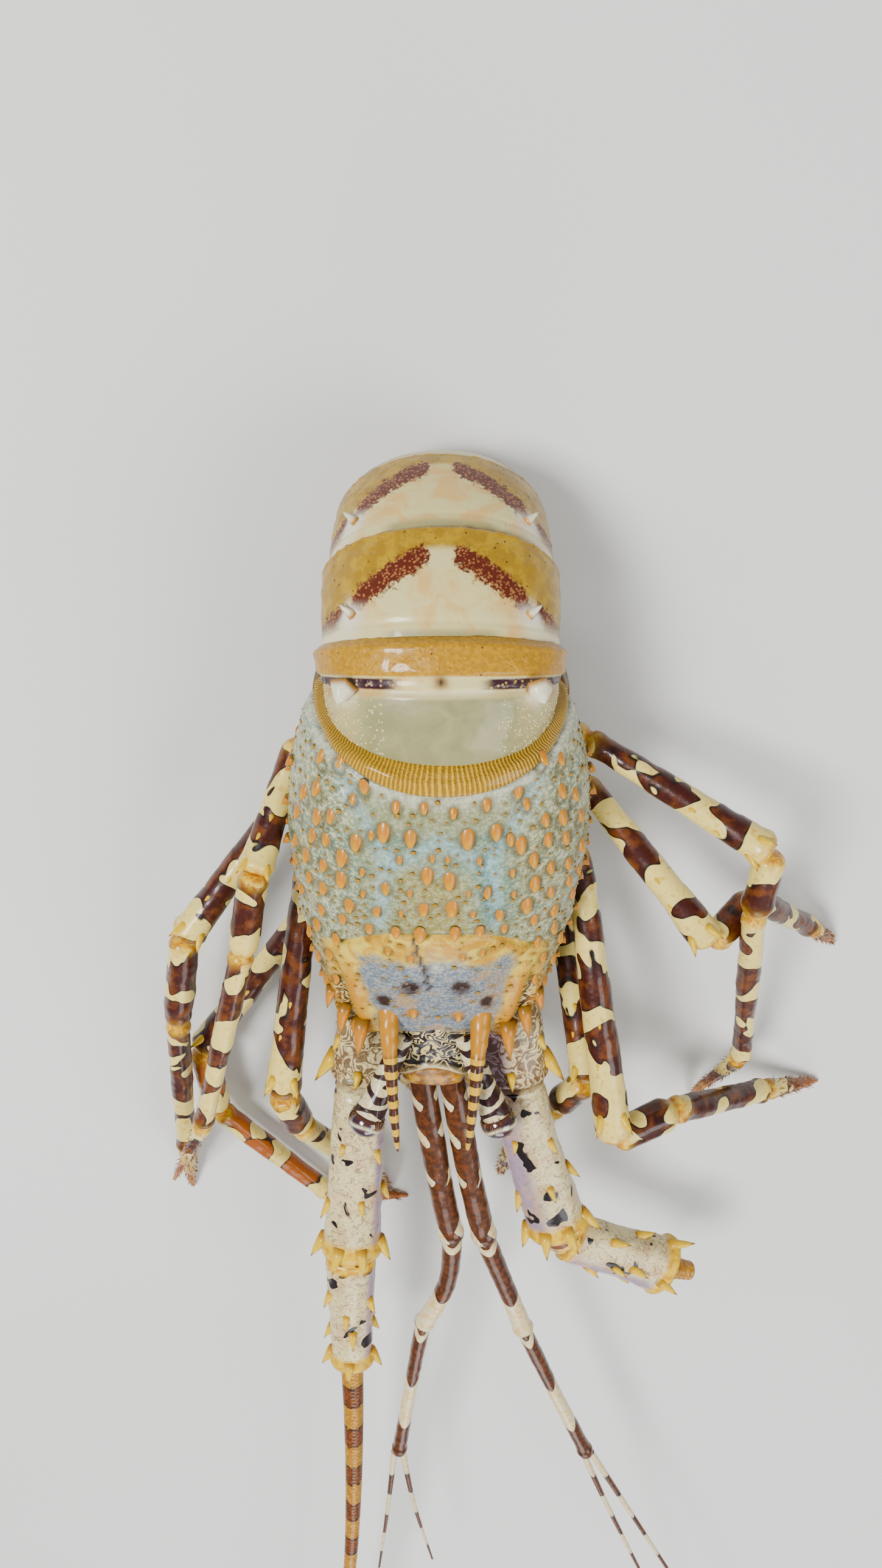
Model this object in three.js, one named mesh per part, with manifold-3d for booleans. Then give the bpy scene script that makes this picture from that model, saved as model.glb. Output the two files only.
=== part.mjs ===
// Ornate spiny lobster (Panulirus ornatus) as a still, life-size display model.
// Millimetres, +Z up. The head points to -Y, the animal's own left is +X, the floor is z = 0.
import * as THREE from 'three';
import { mergeVertices } from 'three/addons/utils/BufferGeometryUtils.js';
import Module from 'manifold-3d';

const wasm = await Module();
wasm.setup();

// Driving dimensions of the body
const gap = 0.3;
const rimTop = new THREE.Vector3(0, 3, 88);
const thoraxPitch = THREE.MathUtils.degToRad(10);
const thoraxYaw = THREE.MathUtils.degToRad(-1.1);
const shellHalfWidth = 46;
const shellSides = 32;
const tailArcRadius = 69;
const tailArcCentre = { y: 8, z: 18 };
const tailHalfWidth = 33.5;
const tailSides = 28;
const fanThickness = 2.2;
const fanLength = 48;
const randomSeed = 7;

// Colours
const colours = {
  shell: 0x9aa98f,
  sternum: 0xcdb98c,
  eye: 0x2a1822,
  antenna: 0xcfc3b4,
  whip: 0x9a5a2c,
  antennule: 0x4a3122,
  tail: 0xc9ab72,
  fan: 0x8c7a4c,
  leg: 0x7a4238,
  mouth: 0xd8c090,
};

function paint(colour, roughness = 0.35) {
  return new THREE.MeshStandardMaterial({ color: colour, roughness, metalness: 0 });
}

// Seeded random numbers
let randomState = randomSeed;
function random() {
  randomState = (randomState * 1664525 + 1013904223) % 4294967296;
  return randomState / 4294967296;
}
function jitter(amount) {
  return (random() - 0.5) * 2 * amount;
}

const vec = (x, y, z) => new THREE.Vector3(x, y, z);
const mix = (a, b, t) => a + (b - a) * t;
const power = (value, exponent) => Math.sign(value) * Math.pow(Math.abs(value), exponent);

// Solids: geometry to manifold and back
function toSolid(geometry) {
  const bare = geometry.clone();
  bare.deleteAttribute('normal');
  bare.deleteAttribute('uv');
  const merged = mergeVertices(bare, 1e-5);
  return new wasm.Manifold(new wasm.Mesh({
    numProp: 3,
    vertProperties: new Float32Array(merged.attributes.position.array),
    triVerts: new Uint32Array(merged.index.array),
  }));
}

function toGeometry(solid) {
  const mesh = solid.getMesh();
  const geometry = new THREE.BufferGeometry();
  geometry.setAttribute('position', new THREE.BufferAttribute(new Float32Array(mesh.vertProperties), 3));
  geometry.setIndex(new THREE.BufferAttribute(new Uint32Array(mesh.triVerts), 1));
  return geometry;
}

function volumeOf(geometry) {
  const p = geometry.attributes.position;
  const index = geometry.index.array;
  const a = vec(0, 0, 0);
  const b = vec(0, 0, 0);
  const c = vec(0, 0, 0);
  let total = 0;
  for (let i = 0; i < index.length; i += 3) {
    a.fromBufferAttribute(p, index[i]);
    b.fromBufferAttribute(p, index[i + 1]);
    c.fromBufferAttribute(p, index[i + 2]);
    total += a.dot(b.cross(c)) / 6;
  }
  return total;
}

function largestPiece(solid) {
  const pieces = solid.decompose();
  if (pieces.length < 2) return solid;
  const size = (piece) => Math.abs(volumeOf(toGeometry(piece)));
  return pieces.reduce((best, piece) => (size(piece) > size(best) ? piece : best));
}

function joined(solids) {
  return largestPiece(solids.reduce((sum, solid) => sum.add(solid)));
}

function cutBy(solid, cutters) {
  return largestPiece(cutters.reduce((rest, cutter) => rest.subtract(cutter), solid));
}

// A closed surface through rings of equal point counts, with a fan on each end
function loft(rings) {
  const count = rings[0].length;
  const points = rings.flat();
  const index = [];
  for (let r = 0; r + 1 < rings.length; r += 1) {
    for (let k = 0; k < count; k += 1) {
      const next = (k + 1) % count;
      const a = r * count + k;
      const b = r * count + next;
      const c = a + count;
      const d = b + count;
      index.push(a, b, d, a, d, c);
    }
  }
  for (const end of [0, rings.length - 1]) {
    const centre = rings[end].reduce((sum, p) => sum.add(p), vec(0, 0, 0)).divideScalar(count);
    const hub = points.push(centre) - 1;
    for (let k = 0; k < count; k += 1) {
      const a = end * count + k;
      const b = end * count + ((k + 1) % count);
      if (end === 0) index.push(hub, b, a);
      else index.push(hub, a, b);
    }
  }
  const geometry = new THREE.BufferGeometry();
  geometry.setAttribute('position', new THREE.Float32BufferAttribute(points.flatMap((p) => [p.x, p.y, p.z]), 3));
  geometry.setIndex(index);
  if (volumeOf(geometry) < 0) {
    for (let i = 0; i < index.length; i += 3) [index[i + 1], index[i + 2]] = [index[i + 2], index[i + 1]];
    geometry.setIndex(index);
  }
  return geometry;
}

// A limb along stations [x, y, z, half width, half height]
function limb(stations, { sides = 8, grow = 0, endPlanes = [null, null] } = {}) {
  const points = stations.map((s) => vec(s[0], s[1], s[2]));
  const last = points.length - 1;
  const rings = points.map((point, i) => {
    const before = points[Math.max(i - 1, 0)];
    const after = points[Math.min(i + 1, last)];
    const tangent = after.clone().sub(before).normalize();
    if (i > 0 && i < last) {
      const into = point.clone().sub(before).normalize();
      const out = after.clone().sub(point).normalize();
      tangent.copy(into.add(out).normalize());
    }
    if (i === 0 && endPlanes[0]) tangent.copy(endPlanes[0]);
    if (i === last && endPlanes[1]) tangent.copy(endPlanes[1]);
    const side = tangent.clone().cross(vec(0, 0, 1));
    if (side.length() < 0.2) side.set(1, 0, 0);
    side.normalize();
    const up = side.clone().cross(tangent).normalize();
    const ring = [];
    for (let k = 0; k < sides; k += 1) {
      const angle = (k / sides) * Math.PI * 2;
      ring.push(point.clone()
        .addScaledVector(side, Math.cos(angle) * (stations[i][3] + grow))
        .addScaledVector(up, Math.sin(angle) * (stations[i][4] + grow)));
    }
    return ring;
  });
  return loft(rings);
}

// A tapering spine from a root point along a direction, its base sunk by a third of its length
function spine(root, direction, length, radius, sides = 5) {
  const sunk = length * 0.35;
  const cone = new THREE.ConeGeometry(radius, length + sunk, sides);
  cone.translate(0, (length + sunk) / 2 - sunk, 0);
  cone.applyQuaternion(new THREE.Quaternion().setFromUnitVectors(vec(0, 1, 0), direction.clone().normalize()));
  cone.translate(root.x, root.y, root.z);
  return toSolid(cone);
}

// Thorax frame: local -Y runs forward along the back, local z = 0 is the rim's top
const thorax = new THREE.Group();
thorax.position.copy(rimTop);
thorax.rotation.set(thoraxPitch, 0, thoraxYaw);
thorax.updateMatrixWorld(true);
const fromThorax = (x, y, z) => vec(x, y, z).applyMatrix4(thorax.matrixWorld);
const turned = (direction) => direction.clone().transformDirection(thorax.matrixWorld);

// Carapace: [y, half width, top, widest level, bottom, backward sweep of the sides]
const shellStations = [
  [1, 35, -2.2, -30, -49, 12],
  [-1, 37.5, 0, -30, -50, 11],
  [-6, 39.8, 0.6, -31, -51, 10],
  [-8.5, 40.4, -0.6, -31, -51.5, 9],
  [-14, 42.6, 0.6, -32, -52, 6],
  [-25, 44.8, 1.0, -33, -53, 3],
  [-40, shellHalfWidth, 0.8, -34, -53, 0],
  [-53, 45.6, -0.6, -34, -53, 0],
  [-59, 45, -2.2, -34, -52, 0],
  [-61.5, 44.4, -4.6, -34, -52, 0],
  [-65, 44.2, -4.0, -34, -51, 0],
  [-76, 43, -5.4, -34, -50, 0],
  [-90, 40.5, -8.2, -34, -48, 0],
  [-103, 37.6, -11.2, -33, -46, 0],
  [-113, 34.8, -14.2, -32, -44, 0],
  [-119, 31, -17.4, -31, -42, 0],
  [-122.5, 23, -22, -30, -38, 0],
];

function shellPoint(station, angle, grow = 0) {
  const [y, halfWidth, top, mid, bottom, sweep] = station;
  const s = Math.sin(angle);
  const c = Math.cos(angle);
  const rise = c > 0 ? (top - mid + grow) * power(c, 0.92) : (mid - bottom + grow) * power(c, 0.75);
  const narrow = c < 0 ? 1 - 0.4 * Math.pow(-c, 1.4) : 1;
  return vec((halfWidth + grow) * power(s, 0.86) * narrow, y + (sweep * (1 - c)) / 2, mid + rise);
}

function shellStationAt(y) {
  let i = 0;
  while (i < shellStations.length - 2 && shellStations[i + 1][0] > y) i += 1;
  const [a, b] = [shellStations[i], shellStations[i + 1]];
  const t = THREE.MathUtils.clamp((y - a[0]) / (b[0] - a[0]), 0, 1);
  return a.map((value, k) => mix(value, b[k], t));
}

function shellSolid(grow = 0) {
  const rings = shellStations.map((station, i) => {
    const shifted = [...station];
    if (i === 0) shifted[0] += grow;
    if (i === shellStations.length - 1) shifted[0] -= grow;
    return Array.from({ length: shellSides }, (_, k) => {
      const p = shellPoint(shifted, (k / shellSides) * Math.PI * 2, grow);
      return fromThorax(p.x, p.y, p.z);
    });
  });
  return toSolid(loft(rings));
}

// Root point and outward direction on the shell at a station and an angle from the midline
function shellSurface(y, angle) {
  const at = (yy, aa) => {
    const p = shellPoint(shellStationAt(yy), aa);
    return fromThorax(p.x, p.y, p.z);
  };
  const root = at(y, angle);
  const along = at(y - 0.5, angle).sub(at(y + 0.5, angle));
  const around = at(y, angle + 0.02).sub(at(y, angle - 0.02));
  const normal = around.cross(along).normalize();
  if (normal.dot(root.clone().sub(fromThorax(0, y, -30))) < 0) normal.negate();
  return { root, normal };
}

const forward = turned(vec(0, -1, 0));

// Rows of forward pointing tubercles and spines: [y, angles from the midline, height, radius, forward lean]
const shellSpineRows = [
  [-14, [0.12, 0.36, 0.62, 0.9, 1.2], 1.1, 1.2, 0.4],
  [-20, [0.2, 0.5, 0.78, 1.06, 1.34], 1.4, 1.5, 0.6],
  [-28, [0.36, 0.64, 0.94, 1.24], 2.2, 2.1, 0.8],
  [-35, [0.28, 0.56, 0.8, 1.1, 1.42], 3.0, 2.5, 0.9],
  [-43, [0.1, 0.42, 0.7, 1.0, 1.3], 2.4, 2.1, 0.9],
  [-51, [0.12, 0.34, 0.62, 0.94, 1.24, 1.5], 2.4, 2.0, 1.0],
  [-61, [0.18, 0.34, 0.7, 0.96, 1.22], 4.0, 2.1, 1.6],
  [-72, [0.3, 0.62, 0.94, 1.2, 1.45], 2.4, 1.8, 1.3],
  [-84, [0.2, 0.5, 0.86, 1.12, 1.4], 3.4, 2.0, 1.5],
  [-96, [0.18, 0.74, 1.02, 1.3], 4.2, 2.2, 1.6],
  [-101, [0.36], 7.5, 2.6, 1.6],
  [-109, [0.7, 0.98, 1.25, 1.5], 8.0, 2.6, 2.0],
];

function shellSpines(grow = 0) {
  randomState = randomSeed;
  const spines = [];
  for (const [y, angles, height, radius, lean] of shellSpineRows) {
    for (const angle of angles) {
      for (const side of [-1, 1]) {
        const { root, normal } = shellSurface(y + jitter(1), side * (angle + jitter(0.02)));
        const direction = normal.addScaledVector(forward, lean).normalize();
        const length = (height + radius) * (1 + jitter(0.15));
        spines.push(spine(root, direction, length + 2 * grow, radius * (1 + jitter(0.1)) + 1.5 * grow));
      }
    }
  }
  return spines;
}

// Frontal horns: [x, y, z, radius] in the thorax frame, right side mirrored
const hornStations = [
  [15.2, -103, -16, 4.0],
  [14.9, -111, -10.5, 3.2],
  [14.3, -118, -6, 2.4],
  [13.7, -127, -1.5, 1.9],
  [12.6, -139, 3.5, 1.5],
  [11.6, -149, 6.5, 0.6],
];

function horn(side) {
  const stations = hornStations.map(([x, y, z, radius]) => {
    const p = fromThorax(side * x, y, z);
    return [p.x, p.y, p.z, radius, radius];
  });
  return toSolid(limb(stations, { sides: 8 }));
}

// Antennular plate and mouth frame: a block in front of the shell's front edge
const plateStations = [
  [0, -108, -25, 15, 9.5],
  [0, -120, -24, 14.2, 8.8],
  [0, -132, -22.5, 13, 7.4],
  [0, -143, -20.5, 10.6, 4.6],
];

function plateSolid(grow = 0) {
  const stations = plateStations.map(([x, y, z, halfWidth, halfHeight]) => {
    const p = fromThorax(x, y, z);
    return [p.x, p.y, p.z, halfWidth, halfHeight];
  });
  stations[stations.length - 1][1] -= grow;
  return toSolid(limb(stations, { sides: 12, grow }));
}

const shellBody = shellSolid();
const shellCutter = shellSolid(gap);
const plateCutter = plateSolid(gap);
const carapace = joined([shellBody, plateSolid(), ...shellSpines()]);
const carapaceCutter = joined([shellCutter, ...shellSpines(gap)]);

// Sternum: a shallow wedge under the shell that carries the legs
const sternumStations = [
  [0, -4, -52, 27, 6],
  [0, -30, -55, 27, 7],
  [0, -60, -55, 22, 7],
  [0, -88, -52, 14, 6],
  [0, -104, -48, 9, 5],
];

function sternumSolid(grow = 0) {
  const stations = sternumStations.map(([x, y, z, halfWidth, halfHeight]) => {
    const p = fromThorax(x, y, z);
    return [p.x, p.y, p.z, halfWidth, halfHeight];
  });
  if (grow > 0) {
    stations[0][1] += grow;
    stations[stations.length - 1][1] -= grow;
  }
  return toSolid(limb(stations, { sides: 16, grow }));
}

const sternum = cutBy(sternumSolid(), [shellCutter]);
const sternumCutter = sternumSolid(gap);

// Collected nodes of the model
const model = new THREE.Group();
model.add(thorax);
const floorCutter = toSolid(new THREE.BoxGeometry(2000, 2000, 100).translate(0, 0, -50));

function addNode(name, solid, material, parent = model) {
  const geometry = toGeometry(solid);
  parent.updateMatrixWorld(true);
  geometry.applyMatrix4(parent.matrixWorld.clone().invert());
  geometry.computeVertexNormals();
  const mesh = new THREE.Mesh(geometry, material);
  mesh.name = name;
  parent.add(mesh);
  return mesh;
}

addNode('carapace', carapace, paint(colours.shell), thorax);
addNode('sternum', sternum, paint(colours.sternum), thorax);
for (const side of [-1, 1]) {
  addNode(`horn_${side < 0 ? 'R' : 'L'}`, cutBy(horn(side), [carapaceCutter, plateSolid(gap)]), paint(colours.shell));
}

// Abdomen: six rings along an arc that bends down and forward under the body
function tailFrame(y, z, heading) {
  return {
    point: vec(0, y, z),
    outward: vec(0, Math.sin(heading), Math.cos(heading)),
  };
}

function tailArcFrame(degrees) {
  const heading = THREE.MathUtils.degToRad(degrees);
  return tailFrame(
    tailArcCentre.y + tailArcRadius * Math.sin(heading),
    tailArcCentre.z + tailArcRadius * Math.cos(heading),
    heading,
  );
}

const rad = THREE.MathUtils.degToRad;

// Each joint plane of the tail: dorsal point, heading, half width and thickness
const tailJoints = [
  { ...tailArcFrame(-6), halfWidth: 30.5, thickness: 40 },
  { ...tailArcFrame(24), halfWidth: tailHalfWidth, thickness: 40 },
  { ...tailArcFrame(51), halfWidth: 32.5, thickness: 38 },
  { ...tailArcFrame(78), halfWidth: 29.5, thickness: 34 },
  { ...tailFrame(71, 9.5, rad(116)), halfWidth: 28, thickness: 29 },
  { ...tailFrame(50, 0.4, rad(158)), halfWidth: 25.5, thickness: 24 },
  { ...tailFrame(29, -0.4, rad(180)), halfWidth: 21, thickness: 15 },
];

function tailRing(joint, swell, widen) {
  const along = vec(0, joint.outward.z, -joint.outward.y);
  const ring = [];
  for (let k = 0; k < tailSides; k += 1) {
    const angle = (k / tailSides) * Math.PI * 2;
    const s = Math.sin(angle);
    const c = Math.cos(angle);
    const widest = joint.thickness * 0.58;
    const depth = c > 0 ? -widest + (widest + swell) * c : -widest - (joint.thickness - widest) * power(-c, 0.6);
    const narrow = c < 0 ? 1 - 0.3 * -c : 1;
    ring.push(vec((joint.halfWidth + widen) * power(s, 0.9) * narrow, 0, 0)
      .add(joint.point)
      .addScaledVector(joint.outward, depth));
  }
  return ring;
}

function blendJoint(a, b, t) {
  const headingA = Math.atan2(a.outward.y, a.outward.z);
  let headingB = Math.atan2(b.outward.y, b.outward.z);
  if (headingB < headingA - Math.PI / 2) headingB += Math.PI * 2;
  const heading = mix(headingA, headingB, t);
  const straight = a.point.clone().lerp(b.point, t);
  const chord = a.point.distanceTo(b.point);
  const bulge = (chord * Math.abs(headingB - headingA)) / 8;
  const outward = vec(0, Math.sin(heading), Math.cos(heading));
  straight.addScaledVector(outward, bulge * 4 * t * (1 - t));
  return {
    point: straight,
    outward,
    halfWidth: mix(a.halfWidth, b.halfWidth, t),
    thickness: mix(a.thickness, b.thickness, t),
  };
}

// Fractions along a ring plate with its swell, so that the rear edge stands proud of the next plate
const tergiteProfile = [
  [0.0, -1.4],
  [0.2, -0.6],
  [0.55, 0.5],
  [0.9, 1.0],
  [1.0, 0.2],
];

function tailSegment(number) {
  const front = tailJoints[number - 1];
  const rear = tailJoints[number];
  const rings = tergiteProfile.map(([t, swell]) => tailRing(blendJoint(front, rear, t), swell, swell * 0.6));
  const shift = (ring, joint, amount) => {
    const along = vec(0, joint.outward.z, -joint.outward.y);
    return ring.map((p) => p.clone().addScaledVector(along, amount));
  };
  if (number > 1) rings[0] = shift(rings[0], front, gap / 2);
  rings[rings.length - 1] = shift(rings[rings.length - 1], rear, -gap / 2);
  const parts = [toSolid(loft(rings))];
  const middle = blendJoint(front, rear, 0.55);
  const along = vec(0, middle.outward.z, -middle.outward.y);
  for (const side of [-1, 1]) {
    const root = middle.point.clone()
      .addScaledVector(middle.outward, -middle.thickness * 0.62)
      .add(vec(side * (middle.halfWidth - 4), 0, 0));
    const direction = vec(side * 0.15, 0, 0)
      .addScaledVector(middle.outward, -1)
      .addScaledVector(along, 0.3);
    parts.push(spine(root, direction, middle.thickness * 0.5, 5, 6));
  }
  return joined(parts);
}

// Neighbouring plates are parted by the plane of the joint between them
function slabCutter(joint, side) {
  const box = new THREE.BoxGeometry(200, 200, 200);
  box.translate(0, side * 100, 0);
  box.rotateX(-Math.atan2(joint.outward.y, joint.outward.z));
  box.translate(joint.point.x, joint.point.y, joint.point.z);
  const along = vec(0, joint.outward.z, -joint.outward.y).multiplyScalar(side * gap / 2);
  box.translate(along.x, along.y, along.z);
  return toSolid(box);
}

for (let number = 1; number <= 6; number += 1) {
  const cutters = [floorCutter];
  cutters.push(shellCutter, sternumCutter);
  const front = tailJoints[number - 1];
  const rear = tailJoints[number];
  if (number > 1) cutters.push(slabCutter(front, -1));
  cutters.push(slabCutter(rear, 1));
  addNode(`abdomen_${number}`, cutBy(tailSegment(number), cutters), paint(colours.tail));
}

// Tail fan: flat blades lying on the floor, pointing forward under the body
function blade({ x, y, angle, halfWidth, length = fanLength }, grow = 0) {
  const w = halfWidth + grow;
  const reach = length + grow;
  const outline = new THREE.Shape();
  outline.moveTo(-w * 0.4, -grow);
  outline.bezierCurveTo(-w * 1.25, reach * 0.35, -w * 1.2, reach, 0, reach);
  outline.bezierCurveTo(w * 1.2, reach, w * 1.25, reach * 0.35, w * 0.4, -grow);
  outline.closePath();
  const geometry = new THREE.ExtrudeGeometry(outline, {
    depth: fanThickness + grow,
    bevelEnabled: false,
    curveSegments: 7,
  });
  geometry.rotateZ(Math.PI + angle);
  geometry.translate(x, y, 0);
  return toSolid(geometry);
}

const fanRootY = 28.4;
const fanBlades = [
  { name: 'telson', x: 0, y: fanRootY, angle: 0, halfWidth: 11 },
  { name: 'uropod_L_in', x: 12, y: fanRootY, angle: rad(11), halfWidth: 9.5 },
  { name: 'uropod_R_in', x: -12, y: fanRootY, angle: rad(-11), halfWidth: 9.5 },
  { name: 'uropod_L_out', x: 16.5, y: fanRootY, angle: rad(29), halfWidth: 10 },
  { name: 'uropod_R_out', x: -16.5, y: fanRootY, angle: rad(-29), halfWidth: 10 },
];
const behindFan = toSolid(new THREE.BoxGeometry(90, 60, 60).translate(0, fanRootY + 30, 30));
const bladeCutters = [behindFan];
for (const form of fanBlades) {
  addNode(form.name, cutBy(blade(form), bladeCutters), paint(colours.fan));
  bladeCutters.push(blade(form, gap));
}

// Legs: coxa, hip, knee, wrist, ankle and tip of each, with the half thickness at the knee
const legPlans = {
  R1: {
    coxa: [-20, -87, 13], hip: [-26, -98, 15], knee: [-33, -124, 21],
    wrist: [-27, -138, 18], ankle: [-12, -163, 9], tip: [-7, -178, 0.6], size: 4.3,
  },
  R2: {
    coxa: [-24, -64, 15], hip: [-42, -76, 14], knee: [-90, -144, 15],
    wrist: [-87, -177, 11], ankle: [-46, -222, 9], tip: [-14, -232, 0.6], size: 4.8,
  },
  R3: {
    coxa: [-27, -44, 22], hip: [-44, -53, 29], knee: [-56, -142, 43],
    wrist: [-52, -164, 34], ankle: [-28, -206, 13], tip: [-22, -228, 0.6], size: 5.2,
  },
  R4: {
    coxa: [-28, -24, 27], hip: [-45, -25, 33], knee: [-85, -78, 41],
    wrist: [-93, -118, 33], ankle: [-101.5, -196, 11], tip: [-104, -226, 0.6], size: 4.8,
  },
  R5: {
    coxa: [-27, -6, 31], hip: [-44, -8, 38], knee: [-57.5, -45, 56],
    wrist: [-63.5, -75, 55], ankle: [-87.5, -163, 35], tip: [-106, -206, 18], size: 4.5,
  },
  L1: {
    coxa: [19, -86, 13], hip: [24, -97, 15], knee: [31, -122, 21],
    wrist: [25, -136, 18], ankle: [11, -161, 9], tip: [7, -176, 0.6], size: 4.3,
  },
  L2: {
    coxa: [24, -64, 15], hip: [41, -74, 17], knee: [52, -140, 38],
    wrist: [43, -158, 30], ankle: [28, -196, 12], tip: [24, -220, 0.6], size: 4.8,
  },
  L3: {
    coxa: [27, -44, 22], hip: [45, -50, 29], knee: [60, -150, 56],
    wrist: [82, -147, 46], ankle: [124, -163, 16], tip: [150, -171, 0.6], size: 5.4,
  },
  L4: {
    coxa: [28, -24, 27], hip: [45, -24, 33], knee: [87, -74, 50],
    wrist: [103, -65, 38], ankle: [133, -92, 12], tip: [147, -106, 0.6], size: 4.8,
  },
  L5: {
    coxa: [27, -6, 31], hip: [45, -7, 40], knee: [99.5, -36, 60],
    wrist: [97.5, -59, 57.5], ankle: [112, -144, 20], tip: [100, -178, 0.6], size: 4.5,
  },
};
const legSides = 8;

function along(from, to, t) {
  return from.map((value, i) => mix(value, to[i], t));
}

function pick(profile, from, to, size) {
  return profile.map(([t, r]) => [...along(from, to, t), size * r, size * r * 1.05]);
}

function legUpper({ coxa, hip, knee, size }) {
  const rootProfile = [[-0.5, 1.35], [0.35, 1.3], [0.8, 0.95]];
  const thighProfile = [[0.06, 0.84], [0.3, 0.94], [0.7, 1.06], [0.94, 1.18], [1, 0.95]];
  return [...pick(rootProfile, coxa, hip, size), ...pick(thighProfile, hip, knee, size)];
}

function legLower({ knee, wrist, ankle, tip, size }) {
  const wristProfile = [[0, 0.9], [0.25, 1.05], [0.75, 1.08], [0.96, 0.86]];
  const shinProfile = [[0.06, 0.84], [0.3, 0.86], [0.7, 0.78], [0.96, 0.76]];
  const clawProfile = [[0.05, 0.66], [0.35, 0.56], [0.75, 0.36], [1, 0.16]];
  return [
    ...pick(wristProfile, knee, wrist, size),
    ...pick(shinProfile, wrist, ankle, size),
    ...pick(clawProfile, ankle, tip, size),
  ];
}

const heading = (from, to) => vec(...to).sub(vec(...from)).normalize();

function moved(station, direction, amount) {
  const p = vec(station[0], station[1], station[2]).addScaledVector(direction, amount);
  return [p.x, p.y, p.z, ...station.slice(3)];
}

// Two limb lengths that meet at one plane with the gap between them
function partedPair(first, second, plane, sides) {
  const a = [...first];
  const b = [...second];
  a[a.length - 1] = moved(a[a.length - 1], plane, -gap / 2);
  b[0] = moved(b[0], plane, gap / 2);
  return [
    limb(a, { sides, endPlanes: [null, plane] }),
    limb(b, { sides, endPlanes: [plane, null] }),
  ];
}

// A large box on the side of a plane that its normal points to
function halfSpace(point, normal) {
  const size = 120;
  const box = new THREE.BoxGeometry(size, size, size).translate(0, size / 2, 0);
  box.applyQuaternion(new THREE.Quaternion().setFromUnitVectors(vec(0, 1, 0), normal));
  return toSolid(box.translate(point.x, point.y, point.z));
}

// A pair of spines over the knee end of each thigh
function kneeSpines({ hip, knee, size }) {
  const into = heading(hip, knee);
  const side = into.clone().cross(vec(0, 0, 1)).normalize();
  const up = side.clone().cross(into).normalize();
  return [0.9, 2.2].map((angle) => {
    const outward = side.clone().multiplyScalar(Math.cos(angle)).addScaledVector(up, Math.sin(angle));
    const root = vec(...along(hip, knee, 0.9)).addScaledVector(outward, size * 0.95);
    return spine(root, outward.addScaledVector(into, 0.9), size * 1.05, size * 0.36);
  });
}
for (const [name, plan] of Object.entries(legPlans)) {
  const into = heading(plan.hip, plan.knee);
  const out = heading(plan.knee, plan.wrist);
  const plane = into.clone().add(out).normalize();
  const [upper, lower] = partedPair(legUpper(plan), legLower(plan), plane, legSides);
  const upperCutters = [shellCutter, sternumCutter];
  const lowerCutters = [floorCutter];
  if (into.dot(out) < 0.4) {
    const back = plane.clone().negate();
    upperCutters.push(halfSpace(vec(...plan.knee).addScaledVector(plane, -gap / 2), plane));
    lowerCutters.push(halfSpace(vec(...plan.knee).addScaledVector(plane, gap / 2), back));
  }
  addNode(`leg_${name}_upper`, cutBy(joined([toSolid(upper), ...kneeSpines(plan)]), upperCutters), paint(colours.leg));
  addNode(`leg_${name}_lower`, cutBy(toSolid(lower), lowerCutters), paint(colours.leg));
}

// Antennae: a base, two spiny segments and a long whip on the right, a whip worn to a stub on the left
const antennaPlans = {
  R: {
    base: [[-23, -100, 34, 11, 10], [-25.5, -120, 37.5, 11.2, 9.8], [-28, -136, 40.5, 10.4, 9.2]],
    arm: [
      [-28.4, -138.5, 41.5, 9.2, 8.2], [-30, -160, 45, 9.4, 8.2],
      [-32, -190, 48, 9.8, 8.8], [-33.5, -209, 49, 11.2, 9.6],
    ],
    fore: [
      [-33.8, -212.5, 49, 9.8, 8.6], [-34.5, -235, 49.5, 8.4, 7.4],
      [-35, -260, 49.5, 7.7, 7], [-35.2, -268, 49.5, 8.6, 7.8],
    ],
  },
  L: {
    base: [[22, -100, 34, 11, 10], [24.5, -120, 37.5, 11.2, 9.8], [27, -136, 40.5, 10.4, 9.2]],
    arm: [
      [27.6, -138.5, 41.5, 9.2, 8.2], [32, -162, 45.5, 9.6, 8.4],
      [39.5, -186, 48, 10.2, 9], [43.5, -199, 48.5, 11.4, 9.6],
    ],
    fore: [
      [47, -204, 48.5, 9.8, 8.4], [60, -210.5, 47.5, 8.9, 7.6],
      [74, -217.5, 46, 9.4, 8], [85, -223, 45, 12, 9.4],
    ],
  },
};

// Spines along an antenna segment: [fraction, angle round it, length, radius]
const armSpines = [
  [0.3, 1.2, 7, 2], [0.34, 2.5, 7, 2], [0.62, 1.9, 8, 2.2], [0.66, 0.7, 8, 2.2], [0.6, 3.2, 8, 2.2],
  [0.93, 0.15, 8, 2.4], [0.93, 1.1, 8, 2.4], [0.93, 2.0, 8, 2.4], [0.93, 3.0, 8, 2.4],
];
const foreSpines = [
  [0.3, 0.5, 6, 1.9], [0.34, 2.6, 6, 1.9], [0.62, 1.7, 6, 1.9], [0.64, 3.3, 6, 1.9],
  [0.93, 0.0, 7, 2.1], [0.93, 1.5, 6, 2.1], [0.93, 3.1, 7, 2.1],
];

function stationAt(stations, t) {
  const at = t * (stations.length - 1);
  const i = Math.min(Math.floor(at), stations.length - 2);
  return stations[i].map((value, k) => mix(value, stations[i + 1][k], at - i));
}

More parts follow.
